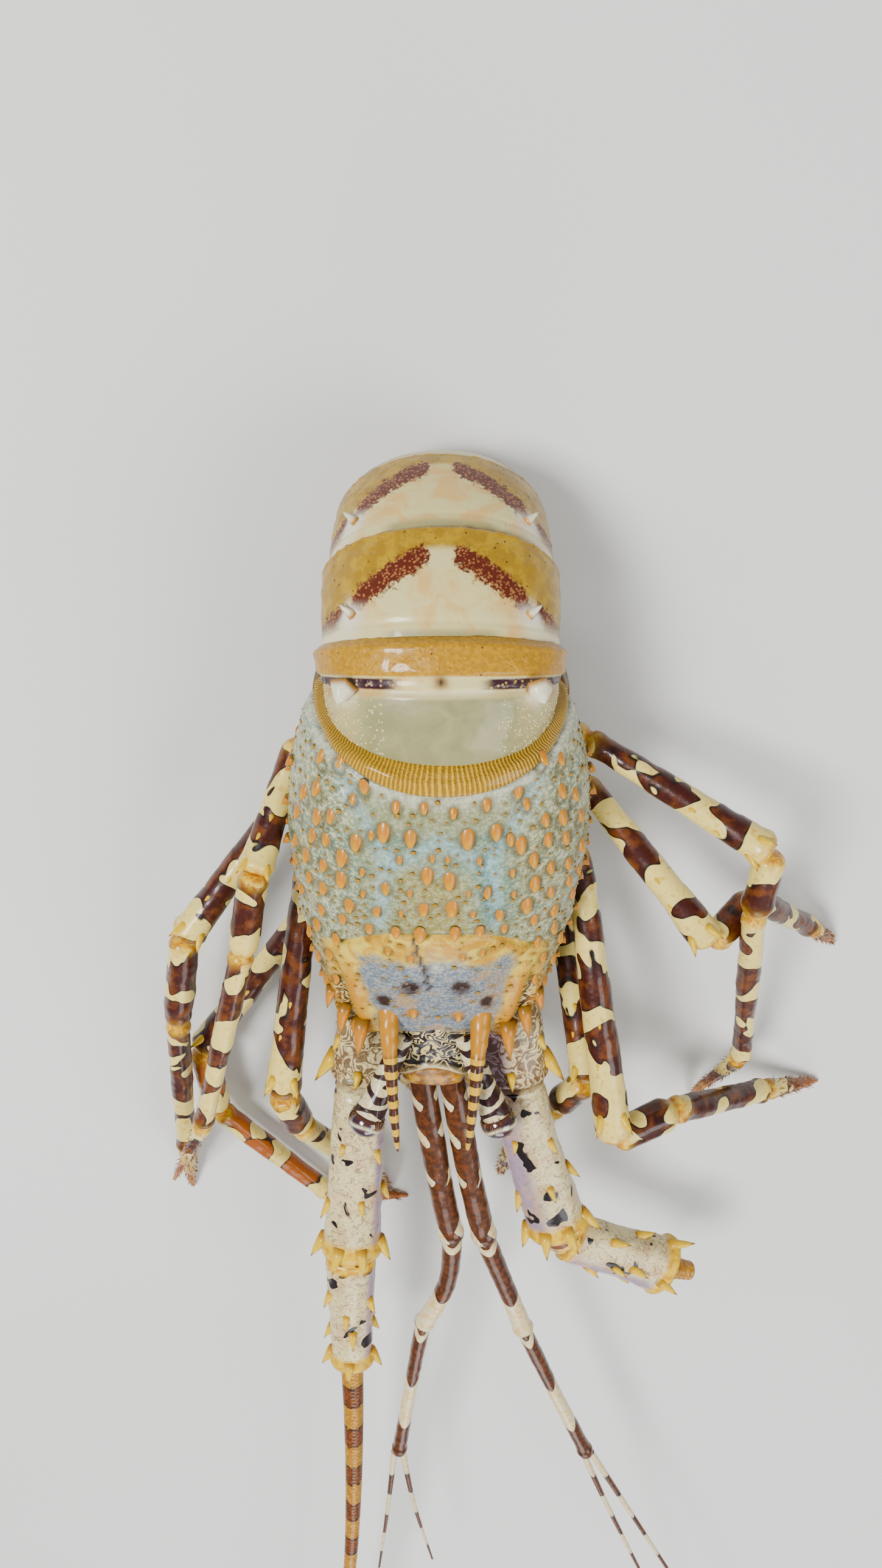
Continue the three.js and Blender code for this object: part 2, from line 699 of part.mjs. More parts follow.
function limbSpines(stations, spineList) {
  return spineList.map(([t, angle, length, radius]) => {
    const station = stationAt(stations, t);
    const ahead = stationAt(stations, Math.min(t + 0.05, 1));
    const behind = stationAt(stations, Math.max(t - 0.05, 0));
    const tangent = vec(...ahead.slice(0, 3)).sub(vec(...behind.slice(0, 3))).normalize();
    const side = tangent.clone().cross(vec(0, 0, 1)).normalize();
    const up = side.clone().cross(tangent).normalize();
    const outward = side.multiplyScalar(Math.cos(angle)).addScaledVector(up, Math.sin(angle));
    const root = vec(...station.slice(0, 3))
      .addScaledVector(outward, (station[3] * station[4]) / Math.hypot(
        station[4] * Math.cos(angle),
        station[3] * Math.sin(angle),
      ) - radius * 0.3);
    return spine(root, outward.clone().addScaledVector(tangent, 1.9), length, radius);
  });
}

const antennaSides = 12;
for (const [side, plan] of Object.entries(antennaPlans)) {
  const elbow = heading(plan.arm[2].slice(0, 3), plan.arm[3].slice(0, 3))
    .add(heading(plan.fore[0].slice(0, 3), plan.fore[1].slice(0, 3))).normalize();
  const [arm, fore] = partedPair(plan.arm, plan.fore, elbow, antennaSides);
  const base = limb(plan.base, { sides: antennaSides });
  const baseSpine = limbSpines(plan.base, [[0.8, side === 'R' ? 0.1 : 3.04, 11, 3]]);
  addNode(`antenna_${side}_base`, cutBy(joined([toSolid(base), ...baseSpine]), [shellCutter, plateCutter]),
    paint(colours.antenna));
  const foreSlab = toSolid(limb(plan.fore, { sides: antennaSides, endPlanes: [elbow, null], grow: gap }));
  addNode(`antenna_${side}_arm`,
    cutBy(joined([toSolid(arm), ...limbSpines(plan.arm, armSpines)]), [foreSlab]), paint(colours.antenna));
  addNode(`antenna_${side}_fore`, joined([toSolid(fore), ...limbSpines(plan.fore, foreSpines)]),
    paint(colours.antenna));
}

// Whips: round tapering lengths that meet end to end
const whipRoute = [
  [-35.3, -268.6, 49.5], [-36, -308, 47.5], [-38, -360, 44.5], [-42, -420, 41.5],
  [-50, -490, 39], [-66, -570, 37], [-92, -640, 36],
];
const whipRootRadius = 4.3;
const whipTipRadius = 0.9;
const whipPieces = 3;
const whipStations = 5;

function routeLength(curve, from, to, radiusAt, steps) {
  return Array.from({ length: steps + 1 }, (_, i) => {
    const t = mix(from, to, i / steps);
    const p = curve.getPointAt(t);
    return [p.x, p.y, p.z, radiusAt(t), radiusAt(t)];
  });
}

const whipCurve = new THREE.CatmullRomCurve3(whipRoute.map((p) => vec(...p)));
const whipRadius = (t) => mix(whipRootRadius, whipTipRadius, t ** 0.85);
const whipGap = gap / whipCurve.getLength();
for (let piece = 0; piece < whipPieces; piece += 1) {
  const from = piece / whipPieces + (piece > 0 ? whipGap : 0);
  const stations = routeLength(whipCurve, from, (piece + 1) / whipPieces, whipRadius, whipStations);
  addNode(`antenna_R_whip_${piece + 1}`, toSolid(limb(stations, { sides: 8 })), paint(colours.whip));
}
const stub = [[86.2, -223.6, 44.9, 4.3, 4.3], [92, -226.5, 43.8, 4.2, 4.2], [96, -228.5, 42.8, 3.6, 3.8]];
addNode('antenna_L_whip_stub', toSolid(limb(stub, { sides: 8 })), paint(colours.whip));

// Antennules: three stalk lengths each side and two thin feelers on each
const antennulePlans = {
  R: {
    lengths: [
      [[-7.2, -131.8, 42, 4.6, 4.2], [-4.6, -150, 45, 4.7, 4.3], [-0.6, -178, 47, 4.5, 4.2], [4, -206, 47, 4.6, 4.2]],
      [[4.2, -206.8, 47, 3.9, 3.7], [3.4, -232, 46.2, 3.5, 3.4], [-7, -255, 45, 3.8, 3.5]],
      [[-7.3, -255.9, 45, 3.1, 3], [-13, -298, 42.6, 2.7, 2.6], [-18, -338, 40.2, 3, 2.8]],
    ],
    feelers: [
      [[-20, -338.8, 40], [-24, -385, 35], [-30, -445, 28]],
      [[-16.6, -338.8, 39.8], [-12, -385, 34], [-4, -440, 25]],
    ],
  },
  L: {
    lengths: [
      [[3.4, -131.8, 42, 4.6, 4.2], [6.2, -150, 45, 4.7, 4.3], [10.6, -178, 47, 4.5, 4.2], [16.4, -207, 47, 4.6, 4.2]],
      [[16.8, -207.8, 47, 3.9, 3.7], [26, -236, 46.5, 3.5, 3.4], [32.6, -257, 46, 3.8, 3.5]],
      [[33, -257.9, 46, 3.1, 3], [47, -297, 44.2, 2.7, 2.6], [62, -336, 42.4, 3, 2.8]],
    ],
    feelers: [
      [[64, -336.2, 42.2], [85, -382, 39.6], [126, -472, 34]],
      [[60.8, -337.4, 41.8], [76, -384, 37.4], [106, -470, 29]],
    ],
  },
};
const feelerRootRadius = 1.35;
const feelerTipRadius = 0.45;
for (const [side, plan] of Object.entries(antennulePlans)) {
  plan.lengths.forEach((stations, i) => {
    const solid = toSolid(limb(stations, { sides: 8 }));
    addNode(`antennule_${side}_${i + 1}`, i === 0 ? cutBy(solid, [plateCutter]) : solid, paint(colours.antennule));
  });
  plan.feelers.forEach((route, i) => {
    const curve = new THREE.CatmullRomCurve3(route.map((p) => vec(...p)));
    const radiusAt = (t) => mix(feelerRootRadius, feelerTipRadius, t);
    const stations = routeLength(curve, 0, 1, radiusAt, 10);
    addNode(`antennule_${side}_feeler_${i + 1}`, toSolid(limb(stations, { sides: 6 })), paint(colours.antennule));
  });
}

// Third maxillipeds: two thick folded mouth limbs side by side under the head
for (const side of [-1, 1]) {
  const stations = [
    [7, -84, -54, 4.5, 4.5],
    [7.5, -104, -50, 5, 5],
    [7, -124, -47, 4.6, 4.6],
    [6, -134, -44, 3.6, 3.6],
  ].map(([x, y, z, a, b]) => {
    const p = fromThorax(side * x, y, z);
    return [p.x, p.y, p.z, a, b];
  });
  const solid = cutBy(toSolid(limb(stations, { sides: 10 })), [shellCutter, sternumCutter, plateCutter]);
  addNode(`maxilliped_${side < 0 ? 'R' : 'L'}`, solid, paint(colours.mouth));
}

// Eyes: a stalk that leans outward and a round cornea, one piece each
for (const side of [-1, 1]) {
  const root = fromThorax(side * 10, -118, -17);
  const ball = fromThorax(side * 22.5, -146, -4);
  const stalk = limb([
    [root.x, root.y, root.z, 3.6, 3.6],
    [...vec().lerpVectors(root, ball, 0.5).toArray(), 4.2, 4.2],
    [ball.x, ball.y, ball.z, 4.6, 4.6],
  ], { sides: 10 });
  const cornea = new THREE.SphereGeometry(5.8, 14, 10).translate(ball.x, ball.y, ball.z);
  const solid = cutBy(joined([toSolid(stalk), toSolid(cornea)]), [shellCutter, plateCutter]);
  addNode(`eye_${side < 0 ? 'R' : 'L'}`, solid, paint(colours.eye, 0.1));
}

// The origin stands on the floor at the middle of the whole outline
model.updateMatrixWorld(true);
const outline = new THREE.Box3().setFromObject(model);
const middle = outline.getCenter(vec(0, 0, 0));
model.position.set(-middle.x, -middle.y, 0);

export default model;
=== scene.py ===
"""Looks of an ornate spiny lobster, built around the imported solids.

Shapes are worked out in the design's own millimetres, with the floor at z = 0 and the head
towards -Y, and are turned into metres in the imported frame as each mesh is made.
"""
import math
import bpy
import numpy as np
from mathutils import Matrix, Vector, kdtree


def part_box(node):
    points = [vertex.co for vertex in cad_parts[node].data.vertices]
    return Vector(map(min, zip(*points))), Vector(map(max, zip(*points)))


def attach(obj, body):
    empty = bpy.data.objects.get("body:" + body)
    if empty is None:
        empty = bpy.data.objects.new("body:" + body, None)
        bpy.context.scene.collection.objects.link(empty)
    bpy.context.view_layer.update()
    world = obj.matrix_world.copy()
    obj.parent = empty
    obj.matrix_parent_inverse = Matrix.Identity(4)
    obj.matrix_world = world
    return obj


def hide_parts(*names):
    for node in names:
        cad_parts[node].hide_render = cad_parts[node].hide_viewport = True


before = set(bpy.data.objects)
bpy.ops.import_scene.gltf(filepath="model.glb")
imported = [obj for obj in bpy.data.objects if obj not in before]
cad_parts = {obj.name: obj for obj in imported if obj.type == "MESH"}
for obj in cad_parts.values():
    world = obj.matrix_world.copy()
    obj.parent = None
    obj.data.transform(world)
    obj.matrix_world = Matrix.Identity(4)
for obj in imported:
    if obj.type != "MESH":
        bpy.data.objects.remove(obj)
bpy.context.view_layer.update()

# Design frame
MM = 0.001
FAN_ROOT_Y = 28.4
telson_low, telson_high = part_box("telson")
SHIFT = np.array([(telson_low.x + telson_high.x) / 2, telson_high.y - FAN_ROOT_Y * MM, 0.0])
RIM_TOP = np.array([0.0, 3.0, 88.0])
THORAX_PITCH = math.radians(10)
THORAX_YAW = math.radians(-1.1)
TURN = np.array(Matrix.Rotation(THORAX_PITCH, 3, "X") @ Matrix.Rotation(THORAX_YAW, 3, "Z"))
FULL_TURN = 2 * math.pi
FLOOR_GAP = 0.00002
TINY = 1e-12
SIDES = ((-1, "R"), (1, "L"))
draw = np.random.default_rng(11)


def from_thorax(points):
    """Points of the thorax's own frame in the design frame."""
    return np.asarray(points, float) @ TURN.T + RIM_TOP


# Number helpers
def ease(value, low, high):
    """0 below low, 1 above high, smooth between."""
    t = np.clip((np.asarray(value, float) - low) / (high - low), 0, 1)
    return t * t * (3 - 2 * t)


def hump(value, centre, width):
    return np.exp(-(((np.asarray(value, float) - centre) / width) ** 2))


def power(value, exponent):
    return np.sign(value) * np.abs(value) ** exponent


def curve_through(x, xs, ys):
    """A smooth curve through the given values, with no overshoot."""
    xs = np.asarray(xs, float)
    ys = np.asarray(ys, float)
    if xs[0] > xs[-1]:
        xs = xs[::-1]
        ys = ys[::-1]
    step = np.diff(xs)
    slope = np.diff(ys) / step
    product = slope[:-1] * slope[1:]
    inner = np.where(product > 0, 2 * product / (slope[:-1] + slope[1:] + TINY), 0)
    tangent = np.concatenate([[slope[0]], inner, [slope[-1]]])
    x = np.clip(x, xs[0], xs[-1])
    i = np.clip(np.searchsorted(xs, x, side="right") - 1, 0, len(xs) - 2)
    t = (x - xs[i]) / step[i]
    a = ys[i] * (1 + 2 * t) * (1 - t) ** 2 + step[i] * tangent[i] * t * (1 - t) ** 2
    b = ys[i + 1] * t * t * (3 - 2 * t) - step[i] * tangent[i + 1] * t * t * (1 - t)
    return a + b


def ring_angles(columns):
    return np.linspace(0, FULL_TURN, columns, endpoint=False)


# Turns a cell's place into a number that looks random
HASH = (127.1, 311.7, 74.7, 43758.5453)


def lumps(points, size, seed=0):
    """Smooth value noise from -1 to 1 with lumps of about the given size."""
    along_x, along_y, along_z, gain = HASH
    q = np.asarray(points, float) / size + seed * 17.3
    cell = np.floor(q)
    f = q - cell
    f = f * f * (3 - 2 * f)
    total = 0
    for corner in np.ndindex(2, 2, 2):
        c = cell + corner
        h = np.sin(c[..., 0] * along_x + c[..., 1] * along_y + c[..., 2] * along_z) * gain
        weight = np.prod(np.where(np.array(corner) == 1, f, 1 - f), axis=-1)
        total = total + (h - np.floor(h)) * weight
    return total * 2 - 1


# Mesh makers
def placed(name, data):
    """A new object in the scene."""
    made = bpy.data.objects.new(name, data)
    bpy.context.scene.collection.objects.link(made)
    return made


def mesh_of(name, points, faces, marks, material):
    mesh = bpy.data.meshes.new(name)
    place = np.asarray(points, float) * MM + SHIFT
    place[:, 2] = np.maximum(place[:, 2], FLOOR_GAP)
    mesh.from_pydata([tuple(p) for p in place], [], faces)
    for label, values in marks.items():
        attribute = mesh.attributes.new(label, "FLOAT", "POINT")
        attribute.data.foreach_set("value", np.asarray(values, np.float32).ravel())
    mesh.materials.append(material)
    mesh.polygons.foreach_set("use_smooth", [True] * len(mesh.polygons))
    mesh.update()
    return placed(name, mesh)


def skin(name, grid, material, marks=None):
    """A smooth surface over rows of ring points, with a fan over each end."""
    grid = np.asarray(grid, float)
    rows, columns, _ = grid.shape
    points = grid.reshape(-1, 3)
    marks = {label: np.broadcast_to(v, (rows, columns)).ravel() for label, v in (marks or {}).items()}
    k = np.arange(columns)
    following = (k + 1) % columns
    faces = []
    for r in range(rows - 1):
        a = r * columns + k
        b = r * columns + following
        faces.extend(zip(a.tolist(), b.tolist(), (b + columns).tolist(), (a + columns).tolist()))
    for end in (0, rows - 1):
        hub = len(points)
        points = np.vstack([points, grid[end].mean(0)])
        rim = slice(end * columns, (end + 1) * columns)
        marks = {label: np.append(v, v[rim].mean()) for label, v in marks.items()}
        ring = end * columns + k
        after = end * columns + following
        pair = (after, ring) if end == 0 else (ring, after)
        faces.extend((hub, int(p), int(q)) for p, q in zip(*pair))
    a = grid[:-1]
    b = np.roll(grid, -1, 1)[:-1]
    c = np.roll(grid, -1, 1)[1:]
    centre = points.mean(0)
    volume = np.einsum("ijk,ijk->", a - centre, np.cross(b - centre, c - centre))
    if volume < 0:
        faces = [tuple(reversed(face)) for face in faces]
    return mesh_of(name, points, faces, marks, material)


def show(piece, slot, *nodes):
    """Lets a piece ride with the body and stand for solids; its slot is not used."""
    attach(piece, "root")
    if nodes:
        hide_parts(*nodes)
    return piece


def dress(name, grid, material, slot, nodes=(), **marks):
    """A skin that is shown at once; the marks drive its material."""
    return show(skin(name, grid, material, marks), slot, *nodes)


def dense_path(stations, spacing, rounding):
    """Stations [x, y, z, a, b] as close-set stations, with the path's corners rounded."""
    stations = np.asarray(stations, float)
    leg = np.linalg.norm(np.diff(stations[:, :3], axis=0), axis=1)
    at = np.concatenate([[0], np.cumsum(leg)])
    s = np.linspace(0, at[-1], max(int(at[-1] / spacing), 6) + 1)
    line = np.stack([np.interp(s, at, stations[:, i]) for i in range(3)], 1)
    if rounding > 0:
        reach = np.minimum(np.minimum(s, at[-1] - s), rounding)
        for _ in range(2):
            low = np.stack([np.interp(s - reach, s, line[:, i]) for i in range(3)], 1)
            high = np.stack([np.interp(s + reach, s, line[:, i]) for i in range(3)], 1)
            line = (low + 2 * line + high) / 4
    size = np.stack([curve_through(s, at, stations[:, i]) for i in (3, 4)], 1)
    return s, line, size


def path_frame(line):
    """Directions along, across and above a path at each of its points."""
    tangent = np.gradient(line, axis=0)
    tangent /= np.linalg.norm(tangent, axis=1)[:, None]
    side = np.cross(tangent, [0, 0, 1])
    side /= np.linalg.norm(side, axis=1)[:, None]
    return tangent, side, np.cross(side, tangent)


def rings_along(line, size, columns, shape=1.0):
    """Ring points round a path; shape under 1 squares the section."""
    _, side, up = path_frame(line)
    angle = ring_angles(columns)
    across = power(np.cos(angle), shape)[None, :, None] * (side * size[:, :1])[:, None]
    above = power(np.sin(angle), shape)[None, :, None] * (up * size[:, 1:])[:, None]
    return line[:, None] + across + above, angle


def limb_grid(stations, columns=24, spacing=0.9, rounding=2.5, shape=1.0):
    s, line, size = dense_path(stations, spacing, rounding)
    grid, angle = rings_along(line, size, columns, shape)
    return grid, s, angle


def outward_normals(grid):
    along = np.gradient(grid, axis=0)
    around = (np.roll(grid, -1, 1) - np.roll(grid, 1, 1)) / 2
    normal = np.cross(along, around)
    normal /= np.linalg.norm(normal, axis=2)[..., None] + TINY
    centre = grid.mean(1, keepdims=True)
    return np.where((normal * (grid - centre)).sum(2).mean() < 0, -normal, normal)


def raised(grid, relief):
    """The grid pushed out along its normals."""
    return grid + outward_normals(grid) * relief[..., None]


# Shader tools
def add_node(tree, kind, settings=None, values=None):
    """A new node; values are plain ones or other nodes' outputs."""
    made = tree.nodes.new(kind)
    for label, value in (settings or {}).items():
        setattr(made, label, value)
    for label, value in (values or {}).items():
        if isinstance(value, bpy.types.NodeSocket):
            tree.links.new(value, made.inputs[label])
        else:
            made.inputs[label].default_value = value
    return made


class Socket:
    """A node's output whose arithmetic adds Math nodes."""

    def __init__(self, recipe, link):
        self.recipe = recipe
        self.link = link

    def maths(self, operation, first, second=0.0):
        return self.recipe.node("ShaderNodeMath", {"operation": operation}, {0: first, 1: second})

    def __add__(self, other):
        return self.maths("ADD", self, other)

    __radd__ = __add__

    def __mul__(self, other):
        return self.maths("MULTIPLY", self, other)

    __rmul__ = __mul__

    def __sub__(self, other):
        return self.maths("SUBTRACT", self, other)

    def __rsub__(self, other):
        return self.maths("SUBTRACT", other, self)

    def __abs__(self):
        return self.maths("ABSOLUTE", self)

    def sine(self):
        return self.maths("SINE", self)


# Places of the colour sockets of a Mix node
MIX_FACTOR = 0
MIX_BELOW = 6
MIX_ABOVE = 7
MIX_COLOUR = 2


class Recipe:
    """A material under construction."""

    def __init__(self, name):
        self.material = bpy.data.materials.new(name)
        self.material.use_nodes = True
        self.tree = self.material.node_tree
        self.tree.nodes.clear()
        self.place = self.node("ShaderNodeTexCoord", output="Object")

    def node(self, kind, settings=None, values=None, output=0):
        plain = {k: v.link if isinstance(v, Socket) else v for k, v in (values or {}).items()}
        return Socket(self, add_node(self.tree, kind, settings, plain).outputs[output])

    def mark(self, label):
        return self.node("ShaderNodeAttribute", {"attribute_name": label}, output="Fac")

    def noise(self, size_mm, detail=3.0, rough=0.55, warp=0.0):
        values = {"Vector": self.place, "Scale": 1 / (size_mm * MM), "Detail": detail}
        values.update({"Roughness": rough, "Distortion": warp})
        return self.node("ShaderNodeTexNoise", {}, values)

    def cells(self, size_mm):
        return self.node("ShaderNodeTexVoronoi", {}, {"Vector": self.place, "Scale": 1 / (size_mm * MM)})

    def step(self, value, low, high):
        values = {"Value": value, "From Min": low, "From Max": high}
        return self.node("ShaderNodeMapRange", {"interpolation_type": "SMOOTHSTEP"}, values)

    def blend(self, mask, below, above):
        values = {MIX_FACTOR: mask}
        for index, colour in ((MIX_BELOW, below), (MIX_ABOVE, above)):
            values[index] = colour if isinstance(colour, Socket) else tint(colour)
        return self.node("ShaderNodeMix", {"data_type": "RGBA"}, values, MIX_COLOUR)

    def layered(self, below, layers):
        """Colours laid over each other where their marks are."""
        for label, colour in layers.items():
            below = self.blend(self.mark(label), below, colour)
        return below

    def finish(self, colour, rough, relief=None, relief_mm=0.3, **constants):
        values = {"Base Color": colour, "Roughness": rough}
        values.update(constants)
        if relief is not None:
            bump = {"Height": relief, "Strength": 1.0, "Distance": relief_mm * MM}
            values["Normal"] = self.node("ShaderNodeBump", {}, bump)
        values = {label.replace("_", " "): v for label, v in values.items()}
        shader = self.node("ShaderNodeBsdfPrincipled", {}, values)
        add_node(self.tree, "ShaderNodeOutputMaterial", {}, {"Surface": shader.link})
        return self.material


def tint(colour):
    """An 8-bit screen colour as a scene colour, made richer because soft light pales it."""
    plain = [(c / 255 / 12.92 if c <= 10 else ((c / 255 + 0.055) / 1.055) ** 2.4) for c in colour]
    grey = sum(plain) / 3
    fall = max(grey - min(plain), 0.001)
    rich = min(RICHNESS, max((grey - 2 * DARKEST) / fall, 1.0))
    made = [(grey + (c - grey) * rich) * DEPTH for c in plain]
    return tuple(min(max(c, DARKEST), BRIGHTEST) for c in made) + (1.0,)


# How far colours are enriched and darkened, their limits, the near-black of the markings, the wet coat
RICHNESS = 1.5
DEPTH = 0.66
DARKEST = 0.002
BRIGHTEST = 0.95
BLACK = (26, 18, 20)
WET = {"Coat_Weight": 0.3, "Coat_Roughness": 0.1, "Specular_IOR_Level": 0.2}


def labyrinth(recipe, size_mm, lines=3.0, warp=1.2, darker=0.0):
    """Winding lines, 0 in the dark lines and 1 between them."""
    field = recipe.noise(size_mm, 1.5, 0.5, warp)
    wave = (field * (lines * FULL_TURN)).sine()
    return recipe.step(wave, darker - 0.35, darker + 0.3)


def make_shell():
    """Carapace: grey-green ground, ribbed golden rim, lavender front, amber ridges, dark labyrinth."""
    m = Recipe("carapace_finish")
    cloud = m.noise(20, 3, 0.6, 0.6)
    fine = m.noise(1.1, 3, 0.6, 0.5)
    grain = m.cells(0.75)
    network = m.step(fine, 0.42, 0.62)
    ground = m.blend(m.step(cloud, 0.38, 0.62), (150, 152, 122), (124, 144, 128))
    ground = m.layered(ground, {"olive": (140, 132, 78), "teal": (92, 130, 122)})
    ground = m.blend(network * (0.42 + 0.55 * m.mark("side")), ground, (222, 220, 192))
    ground = m.blend(m.mark("streak") * (0.35 + 0.5 * network), ground, (176, 204, 206))
    ground = m.blend(m.step(m.noise(5, 3, 0.6), 0.58, 0.72) * 0.22, ground, (96, 84, 50))
    warm = m.blend(m.step(m.noise(8, 3, 0.6, 0.6), 0.4, 0.6), (238, 214, 138), (218, 160, 30))
    ground = m.blend(m.mark("warm"), ground, warm)
    front = m.blend(network, (114, 126, 138), (174, 172, 166))
    front = m.blend(m.step(m.noise(9, 3, 0.6, 0.6), 0.5, 0.66) * 0.55, front, (196, 158, 106))
    ground = m.blend(m.mark("front"), ground, front)
    maze = m.blend(labyrinth(m, 5, 6.5, 0.7, 0.25), BLACK, (236, 218, 166))
    ground = m.blend(m.mark("maze"), ground, maze)
    ribs = (m.mark("rib_turn") * FULL_TURN + m.noise(6, 2) * 5).sine()
    rim = m.blend(m.step(ribs + fine - 0.5, -0.3, 0.6), (168, 124, 36), (228, 184, 76))
    ground = m.blend(m.mark("rim"), ground, rim)
    ground = m.blend(m.mark("pale") * (0.55 + 0.45 * network), ground, (224, 224, 206))
    # Painted shade: a dark olive ring at the foot of each granule and cone
    ground = m.blend(m.mark("foot_shade") * (0.5 + 0.5 * fine), ground, (84, 74, 44))
    # The amber ridges are the shell's own colour; the near-black dark layer is painted shade in the pits,
    # cracks and grooves
    ground = m.layered(ground, {"ridge": (214, 142, 4), "dark": (44, 14, 6)})
    relief = m.step(grain, 0.6, 0.15) * 0.7 + fine * 0.6 + m.mark("rim") * (ribs * 0.9)
    return m.finish(ground, 0.34 + fine * 0.16, relief, 0.16, **WET)


def make_spine(name, low, high, tip):
    """Cones and tubercles: darker foot, bright body, pale or dark tip."""
    m = Recipe(name)
    height = m.mark("height")
    grain = m.noise(1.2, 3)
    body = m.blend(m.step(height, 0.0, 0.35), low, high)
    body = m.blend(m.step(height, 0.72, 0.98), body, tip)
    body = m.blend(m.step(grain, 0.5, 0.75) * 0.2, body, tip)
    return m.finish(body, 0.32 + grain * 0.1, grain, 0.08, **WET)


def make_leg():
    """Legs: near-black maroon with lobed pale patches and rings, orange-brown towards the claw."""
    m = Recipe("leg_finish")
    along = m.mark("along")
    blot = m.noise(15, 1.2, 0.45, 0.9) + m.mark("ring") * 0.08 + m.step(along, 0.05, 0.5) * 0.03
    vein = m.noise(2.2, 3, 0.55, 0.8)
    dark = m.blend(m.step(m.noise(5, 3), 0.42, 0.66), (62, 30, 26), (112, 64, 36))
    dark = m.blend(m.mark("rust"), dark, (172, 92, 34))
    pale = m.blend(m.step(vein, 0.54, 0.7) * 0.6, (250, 232, 168), (226, 168, 70))
    colour = m.blend(m.step(blot, 0.49, 0.53), dark, (28, 10, 14))
    colour = m.blend(m.step(blot, 0.53, 0.545), colour, pale)
    gold = m.blend(m.step(vein, 0.4, 0.6), (244, 204, 96), (214, 140, 40))
    colour = m.blend(m.mark("joint"), colour, gold)
    colour = m.blend(m.step(along, 0.78, 0.96) * 0.9, colour, (176, 92, 30))
    relief = m.noise(1.6, 4, 0.6) + m.cells(2.4) * 0.4
    return m.finish(colour, 0.28 + vein * 0.14, relief, 0.14, **WET)


def make_antenna():
    """Antenna segments: cream with fine dark squiggles, lilac inner side, black blotches, yellow ends."""
    m = Recipe("antenna_finish")
    inner = m.mark("inner")
    ground = m.blend(inner, (240, 228, 188), (172, 156, 168))
    ground = m.blend(m.step(m.noise(9, 3), 0.44, 0.62) * 0.6, ground, (206, 176, 146))
    squiggle = labyrinth(m, 5.5, 6.0, 0.7)
    lines = m.step(abs(m.noise(3.4, 2, 0.5, 1.0) - 0.5), 0.034, 0.012)
    ground = m.blend(lines * (1 - inner * 0.6) * 0.6, ground, (112, 78, 62))
    ground = m.blend(m.mark("maze") * (1 - squiggle) * 0.8, ground, (84, 56, 40))
    blot = m.noise(9, 1.5, 0.5, 0.5)
    ground = m.blend(m.step(blot, 0.615, 0.63) * (1 - m.mark("maze")), ground, BLACK)
    gold = m.blend(m.step(m.noise(2.4, 3), 0.42, 0.62), (244, 206, 100), (226, 164, 52))
    ground = m.blend(m.mark("joint"), ground, gold)
    relief = m.noise(1.8, 4, 0.6)
    return m.finish(ground, 0.3 + m.noise(4) * 0.12, relief, 0.14, **WET)


def make_banded(name, dark, pale, edge, size=2.0):
    """Limbs whose pale bands come from the band attribute, with rough band edges."""
    m = Recipe(name)
    wobble = (m.noise(size * 1.6, 2) - 0.5) * 0.5
    band = m.step(m.mark("band") + wobble, 0.42, 0.54)
    rim = m.step(m.mark("band") + wobble, 0.26, 0.42)
    grain = m.noise(size, 3)
    body = m.blend(m.step(grain, 0.4, 0.65), dark, tuple(min(255, int(c * 1.5)) for c in dark))
    colour = m.blend(rim, body, edge)
    colour = m.blend(band, colour, m.blend(m.step(grain, 0.42, 0.66) * 0.6, pale, (222, 182, 112)))
    colour = m.blend(m.mark("foot"), colour, (212, 142, 10))
    return m.finish(colour, 0.28 + grain * 0.14, grain, 0.1, **WET)


def make_tail():
    """Tail plates: cream plates with sage fronts, speckled dark arcs and golden rear bands; the first plate's
    sage is its own colour, the later plates' sage fronts are painted shadow under the plate ahead.
    """
    m = Recipe("tail_finish")
    fine = m.noise(1.3, 3, 0.6, 0.5)
    mid = m.noise(9, 3, 0.55, 0.8)
    plate = m.blend(m.step(mid, 0.42, 0.64), (234, 224, 178), (232, 200, 150))
    # Sage: the first plate's own colour; on the later plates, painted shadow at the front under the rear edge
    # of the plate ahead
    colour = m.blend(m.mark("sage_and_shade"), plate, m.blend(m.step(mid, 0.3, 0.7), (150, 148, 116), (172, 168, 134)))
    tan = m.blend(m.step(m.noise(4, 3), 0.4, 0.62), (168, 136, 74), (190, 160, 94))
    tan = m.blend(m.step(m.cells(2.6), 0.16, 0.1), tan, (104, 74, 36))
    colour = m.blend(m.mark("tan"), colour, tan)
    gold = m.blend(m.step(fine, 0.4, 0.62), (188, 136, 30), (208, 156, 50))
    gold = m.blend(m.step(m.cells(3.6), 0.11, 0.07), gold, (86, 52, 24))
    colour = m.blend(m.mark("gold"), colour, gold)
    dapple = m.step(m.mark("arc") + (fine - 0.5) * 1.6, 0.26, 0.6)
    colour = m.blend(dapple, colour, m.blend(m.step(m.cells(0.9), 0.5, 0.2), (92, 48, 40), (164, 122, 92)))
    strip = m.blend(m.step(m.cells(1.3), 0.4, 0.12), (52, 26, 36), (196, 172, 122))
    colour = m.blend(m.mark("strip"), colour, strip)
    last = {"cream": (246, 238, 206), "eyespot": (44, 22, 22), "white": (252, 248, 232)}
    colour = m.layered(colour, last)
    grained = m.mark("tan") + m.mark("gold") + m.mark("strip")
    relief = fine * 0.6 + m.step(m.cells(1.4), 0.45, 0.1) * grained * 0.6
    return m.finish(colour, 0.3 + fine * 0.14, relief, 0.16, **WET)


def make_fan():
    m = Recipe("fan_finish")
    across = m.mark("rib")
    along = m.mark("along")
    grain = m.noise(2.2, 4)
    colour = m.blend(m.step(m.noise(7, 3), 0.42, 0.6), (112, 104, 84), (150, 142, 118))
    colour = m.blend(m.step(across, 0.4, 0.8) * 0.5, colour, (96, 76, 48))
    colour = m.blend(m.step(along, 0.6, 0.8), colour, (156, 104, 40))
    colour = m.blend(m.step(along, 0.9, 0.96), colour, (238, 214, 160))
    return m.finish(colour, 0.38 + grain * 0.15, grain + across * 0.6, 0.2, **WET)


